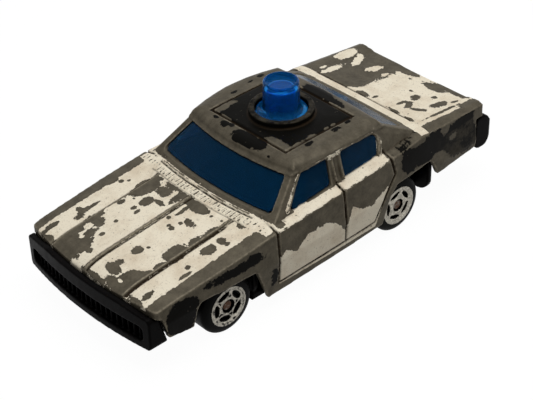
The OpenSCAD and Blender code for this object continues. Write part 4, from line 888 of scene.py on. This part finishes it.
class TOYCAR_OT_glazing(bpy.types.Operator):
    """Moulds the blue glazing with its roof light"""
    bl_idname = "toycar.glazing"
    bl_label = "Glazing and roof light"

    def execute(self, context):
        mesh = soft_copy("window_insert", context.scene.toycar_casting.moulded_grain, MOULDED_PASSES)
        # Share of the glazing that is roof light, which gets the painted-light colour
        store(mesh, "beacon_painted_lit", np.clip((points(mesh)[:, 2] - GUTTER_H) / LIGHT_RISE, 0, 1))
        made = clear_blue(context.scene.toycar_finish)
        place(mesh, "blue_glazing", "window_insert", made)
        return {"FINISHED"}


class TOYCAR_OT_cabin(bpy.types.Operator):
    """Moulds the cabin floor with its seats"""
    bl_idname = "toycar.cabin"
    bl_label = "Cabin floor"

    def execute(self, context):
        grain = context.scene.toycar_casting.moulded_grain * CABIN_COARSER
        mesh = soft_copy("cabin_floor", grain, ROUNDED_PASSES)
        colour = context.scene.toycar_finish.cabin
        made = plain_moulding("moulded grey polystyrene", colour, grain_mm=0.3)
        place(mesh, "cabin_floor_moulding", "cabin_floor", made)
        return {"FINISHED"}


class TOYCAR_OT_springs(bpy.types.Operator):
    """Moulds the two leaf springs, each on a mesh of its own; on the real car they flatten as the axles
    rise
    """
    bl_idname = "toycar.springs"
    bl_label = "Leaf springs"

    def execute(self, context):
        made = plain_moulding("moulded acetal", context.scene.toycar_finish.spring, grain_mm=0.2)
        for end in ("front", "rear"):
            node = end + "_leaf_spring"
            mesh = soft_copy(node, context.scene.toycar_wheels.grain, MOULDED_PASSES)
            obj = place(mesh, node + "_strip", node, made)
            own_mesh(obj)
        return {"FINISHED"}


class TOYCAR_OT_axles(bpy.types.Operator):
    """Turns the two steel axles with domed heads"""
    bl_idname = "toycar.axles"
    bl_label = "Axles"

    def execute(self, context):
        made = rusted_steel(context.scene.toycar_finish)
        for end in ("front", "rear"):
            node = end + "_axle"
            mesh = soft_copy(node, context.scene.toycar_wheels.grain, ROUNDED_PASSES)
            place(mesh, node + "_pin", node, made)
        return {"FINISHED"}


class TOYCAR_OT_wheels(bpy.types.Operator):
    """Moulds the four wheels and stamps their foil"""
    bl_idname = "toycar.wheels"
    bl_label = "Wheels"

    def execute(self, context):
        sizes = context.scene.toycar_wheels
        made = foiled_wheel(context.scene.toycar_finish)
        for end, wear in (("front", sizes.front_wear), ("rear", sizes.rear_wear)):
            for side, sign in (("left", 1), ("right", -1)):
                node = f"{end}_{side}_wheel"
                mesh = soft_copy(node, sizes.grain, MOULDED_PASSES)
                store(mesh, "foil", foil_of(mesh, node, sign, wear))
                place(mesh, node + "_moulding", node, made)
        return {"FINISHED"}


class TOYCAR_OT_stage(bpy.types.Operator):
    """Lays the floor, hangs the lights and sets the camera"""
    bl_idname = "toycar.stage"
    bl_label = "Studio"

    def execute(self, context):
        sizes = context.scene.toycar_stage
        self.floor(sizes)
        self.surroundings(sizes)
        self.lamp("softbox", SOFTBOX_AT, SOFTBOX_SIZE, sizes.key)
        self.lamp("side_card", CARD_AT, CARD_SIZE, sizes.key * CARD_SHARE)
        self.camera(sizes)
        return {"FINISHED"}

    def floor(self, sizes):
        """Pale floor that shows white to the camera and keeps the shadow"""
        mesh = bpy.data.meshes.new("studio_floor")
        bm = bmesh.new()
        bmesh.ops.create_grid(bm, x_segments=1, y_segments=1, size=FLOOR_HALF)
        bm.to_mesh(mesh)
        bm.free()
        made, tree, _ = new_tree("white paper")
        paper = add(tree, "BsdfDiffuse", {"Color": linear(sizes.paper)})
        glow = add(tree, "Emission", {"Color": WHITE, "Strength": FLOOR_GLOW})
        share = add(tree, "MapRange", {"Value": self.seen(tree), "To Max": FLOOR_GLOW_SHARE})
        both = add(tree, "MixShader", {0: share, 1: paper, 2: glow})
        add(tree, "OutputMaterial", {"Surface": both})
        mesh.materials.append(made)
        obj = bpy.data.objects.new("studio_floor", mesh)
        bpy.context.scene.collection.objects.link(obj)

    def seen(self, tree):
        """1 for rays that show a surface to the camera, straight or by way of metal or glass"""
        camera = add(tree, "LightPath", {}, "Is Camera Ray")
        paths = camera.node.outputs
        seen = add(tree, "Math", {0: camera, 1: paths["Is Glossy Ray"]}, operation="MAXIMUM")
        return add(tree, "Math", {0: seen, 1: paths["Is Transmission Ray"]}, operation="MAXIMUM")

    def surroundings(self, sizes):
        """White surroundings to the camera, softer light on the car"""
        world = bpy.data.worlds.new("studio")
        world.use_nodes = True
        tree = world.node_tree
        tree.nodes.clear()
        strength = add(tree, "MapRange", {"Value": self.seen(tree), "To Min": sizes.fill})
        back = add(tree, "Background", {"Color": WHITE, "Strength": strength})
        add(tree, "OutputWorld", {"Surface": back})
        bpy.context.scene.world = world

    def lamp(self, name, place_at, size, power):
        """Soft square lamp aimed at the car"""
        data = bpy.data.lights.new(name, "AREA")
        data.size = size
        data.energy = power
        obj = bpy.data.objects.new(name, data)
        obj.location = place_at
        obj.rotation_euler = (-Vector(place_at)).to_track_quat("-Z", "Y").to_euler()
        bpy.context.scene.collection.objects.link(obj)

    def camera(self, sizes):
        """Camera at the photograph's angle"""
        a, e = sizes.azimuth, sizes.elevation
        back = Vector((math.sin(a) * math.cos(e), -math.cos(a) * math.cos(e), math.sin(e)))
        right = Vector((0, 0, 1)).cross(back).normalized()
        up = back.cross(right)
        c, s = math.cos(sizes.roll), math.sin(sizes.roll)
        right, up = right * c + up * s, up * c - right * s
        data = bpy.data.cameras.new("camera")
        data.sensor_width = SENSOR_MM
        data.lens = sizes.lens
        data.clip_start = CLIP_START
        obj = bpy.data.objects.new("camera", data)
        turn = Matrix((right, up, back)).transposed().to_4x4()
        aim = Vector((sizes.aim_x, 0, sizes.aim_z))
        obj.matrix_world = Matrix.Translation(aim + back * sizes.distance) @ turn
        bpy.context.scene.collection.objects.link(obj)
        bpy.context.scene.camera = obj


class TOYCAR_PT_panel(bpy.types.Panel):
    """Lists the steps that build the toy car's looks"""
    bl_idname = "TOYCAR_PT_panel"
    bl_label = "Toy police car"
    bl_space_type = "VIEW_3D"
    bl_region_type = "UI"
    bl_category = "Toy car"

    def draw(self, context):
        for operator in OPERATORS:
            self.layout.operator(operator.bl_idname)


GROUPS = {
    "toycar_casting": CastingSettings,
    "toycar_finish": FinishSettings,
    "toycar_wheels": WheelSettings,
    "toycar_stage": StageSettings,
}
OPERATORS = [TOYCAR_OT_shell, TOYCAR_OT_base, TOYCAR_OT_glazing, TOYCAR_OT_cabin, TOYCAR_OT_springs,
             TOYCAR_OT_axles, TOYCAR_OT_wheels, TOYCAR_OT_stage]


def register():
    for group in GROUPS.values():
        bpy.utils.register_class(group)
    for operator in OPERATORS:
        bpy.utils.register_class(operator)
    bpy.utils.register_class(TOYCAR_PT_panel)
    for name, group in GROUPS.items():
        setattr(bpy.types.Scene, name, PointerProperty(type=group))


def unregister():
    for name in GROUPS:
        delattr(bpy.types.Scene, name)
    bpy.utils.unregister_class(TOYCAR_PT_panel)
    for cls in reversed([*GROUPS.values(), *OPERATORS]):
        bpy.utils.unregister_class(cls)


def main():
    register()
    bpy.ops.toycar.shell()
    bpy.ops.toycar.base()
    bpy.ops.toycar.glazing()
    bpy.ops.toycar.cabin()
    bpy.ops.toycar.springs()
    bpy.ops.toycar.axles()
    bpy.ops.toycar.wheels()
    bpy.ops.toycar.stage()
    bpy.context.scene.view_settings.view_transform = "Standard"


if __name__ == "__main__":
    main()
